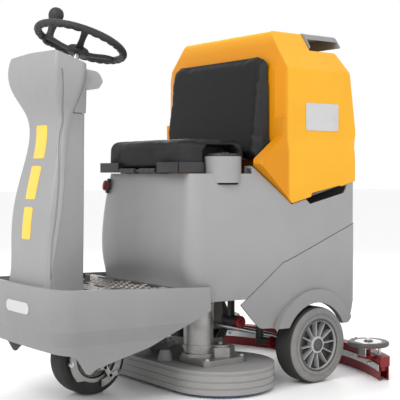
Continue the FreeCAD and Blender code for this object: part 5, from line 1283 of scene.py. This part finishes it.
@dataclass
class TankTrim:
    """Pull tab of the tank's lid, and the two ribbed caps low on the left side."""

    def build(self) -> None:
        """Make the trim."""
        low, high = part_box("tank_lid")
        front, back = high.y - 0.003, high.y + 0.010
        tab = block("lid_tab", (-0.030, front, low.z + 0.014), (0.030, back, low.z + 0.020))
        tab.round_edges(0.002, 2).finish("lid", Finish.DARK)
        self.valve("filter_cap", "strainer_cap")
        self.valve("drain_cap", "drain")

    def valve(self, node: str, body: str) -> None:
        """Ribbed cap turned from the frame's plain one, with a hexagon key in its face."""
        low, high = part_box(node)
        centre = middle(node)
        centre.x = low.x
        radius = (high.z - low.z) / 2
        profile = [(0, 0.0135), (0.0065, 0.0135), (0.0075, 0.0110), (0.0115, 0.0110), (0.0130, 0.0135),
                   (radius - 0.0035, 0.0135), (radius - 0.0012, 0.0120), (radius - 0.0012, 0.0), (0, 0.0)]
        cap = turned(node + "_face", profile, 48)
        rib = block("rib", (radius - 0.0022, -0.0014, 0.0008), (radius, 0.0014, 0.0108))
        rib.round_edges(0.0004, 1)
        key = cylinder("key", 0.0045, 0.004, (0, 0, 0.0150), 6)
        cap.join([around(rib, 18), key]).move(axis_to((1, 0, 0), centre))
        cap.finish(body, Finish.RED, 35.0, (node,))


# ---- frame's own nodes ----------------------------------------------------------------------
NODE_FINISH: dict[Finish, tuple[str, ...]] = {
    Finish.SHELL: ("front_cowl", "column_rear_cover", "dash_binnacle", "solution_tank", "rear_skirt"),
    Finish.TANK: ("recovery_tank",),
    Finish.LID: ("tank_lid",),
    Finish.DARK: ("dash_panel", "battery_bay_liner", "solution_pump", "solution_filter", "drain_pipe",
                  "seat_pan", "vacuum_motor", "accelerator_pedal", "seat_hinge_bracket", "direction_switch",
                  "bumper_roller_left", "bumper_roller_right", "squeegee_knob_left",
                  "squeegee_knob_right", "filler_cap", "steering_knob"),
    Finish.TREAD: ("footplate",),
    Finish.BLACK_STEEL: ("chassis_frame", "column_frame", "drive_motor", "squeegee_hinge_bracket"),
    Finish.CAST: ("drive_fork", "drive_controller", "brush_motor_left", "brush_motor_right",
                  "front_wheel_hub"),
    Finish.ZINC: ("steering_chain", "fork_bearing", "rear_axle", "tank_hinge_bracket", "deck_actuator",
                  "upper_steering_shaft", "lower_steering_shaft", "squeegee_arm", "key_switch"),
    Finish.SKIRT: ("brush_deck",),
    Finish.RED: ("squeegee_holder", "squeegee_front_blade", "squeegee_rear_blade", "emergency_button",
                 "filter_cap", "drain_cap"),
    Finish.BRISTLE: ("brush_left", "brush_right"),
    Finish.BATTERY: ("battery_pack",),
    Finish.TYRE: ("rear_tyre_left", "rear_tyre_right"),
    Finish.DRIVE_TYRE: ("front_tyre",),
    Finish.SILVER: ("rear_rim_left", "rear_rim_right"),
    Finish.WHEEL_GRIP: ("steering_wheel",),
    Finish.SEAT: ("seat_cushion", "seat_back"),
}


def dress_nodes() -> None:
    """Give each of the frame's nodes its finish and smooth shading below a crease angle."""
    for finish, nodes in NODE_FINISH.items():
        for name in nodes:
            node = bpy.data.objects[name]
            node.data.materials.clear()
            node.data.materials.append(finish.material)


# ---- studio ---------------------------------------------------------------------------------
@dataclass(frozen=True)
class Studio:
    """Pale floor, soft lights and the camera."""

    camera_at: Point = (2.628, -1.9685, 0.718)
    azimuth: float = 52.33
    pitch: float = 1.655
    lens: float = 84.2
    lights: tuple[tuple[str, Point, float, float], ...] = (("key", (1.2, -3.2, 3.4), 2.6, 92.0),
                                                           ("fill", (3.4, 0.6, 2.0), 2.4, 12.0),
                                                           ("back", (-2.4, 2.2, 3.0), 2.4, 60.0))

    def build(self) -> None:
        """Set the stage."""
        self.camera()
        self.floor()
        for light in self.lights:
            self.light(*light)
        world = bpy.data.worlds.new("studio")
        world.use_nodes = True
        background = world.node_tree.nodes["Background"]
        background.inputs["Color"].default_value = (1.0, 1.0, 1.0, 1.0)
        background.inputs["Strength"].default_value = 1.0
        bpy.context.scene.world = world
        bpy.context.scene.view_settings.view_transform = "Standard"

    def camera(self) -> None:
        """A long lens, level with the seat, at the left front."""
        data = bpy.data.cameras.new("camera")
        data.lens = self.lens
        data.sensor_width = 36.0
        data.clip_end = 60.0
        made = bpy.data.objects.new("camera", data)
        made.location = self.camera_at
        made.rotation_euler = (math.radians(90.0 - self.pitch), 0.0, math.radians(self.azimuth))
        bpy.context.scene.collection.objects.link(made)
        bpy.context.scene.camera = made

    def floor(self) -> None:
        """A wide white floor with a slight sheen."""
        floor = Workpiece("floor", bpy.ops.mesh.primitive_plane_add, size=60.0, location=(0, 0, -0.0002))
        paint = Paint("floor")
        paint.surface((0.93, 0.93, 0.93), paint.noise(3.0, 2.0) * 0.06 + 0.50)
        floor.obj.data.materials.append(paint.material)

    def light(self, name: str, at: Point, size: float, power: float) -> None:
        """A square soft box aimed at the machine's middle."""
        data = bpy.data.lights.new(name, "AREA")
        data.size = size
        data.energy = power
        made = bpy.data.objects.new(name, data)
        made.location = at
        made.rotation_euler = (Vector((0, 0, 0.5)) - Vector(at)).to_track_quat("-Z", "Y").to_euler()
        bpy.context.scene.collection.objects.link(made)


def main() -> None:
    """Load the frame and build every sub-assembly."""
    logging.basicConfig(level=logging.INFO, format="%(name)s: %(message)s")
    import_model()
    Studio().build()
    dress_nodes()
    Pad("seat_cushion", "seat", lambda c, n: n.z < 0.55 and c.z < 0.817).build()
    Pad("seat_back", "tank", lambda c, n: abs(n.x) > 0.55, cap=0.010).build()
    SeatBase().build()
    SteeringWheel().build()
    RearWheel().build()
    DriveWheel().build()
    TreadPlate().build()
    Bodywork().build()
    ScrubDeck().build()
    SqueegeeTrim().build()
    TankTrim().build()


if __name__ == "__main__":
    main()
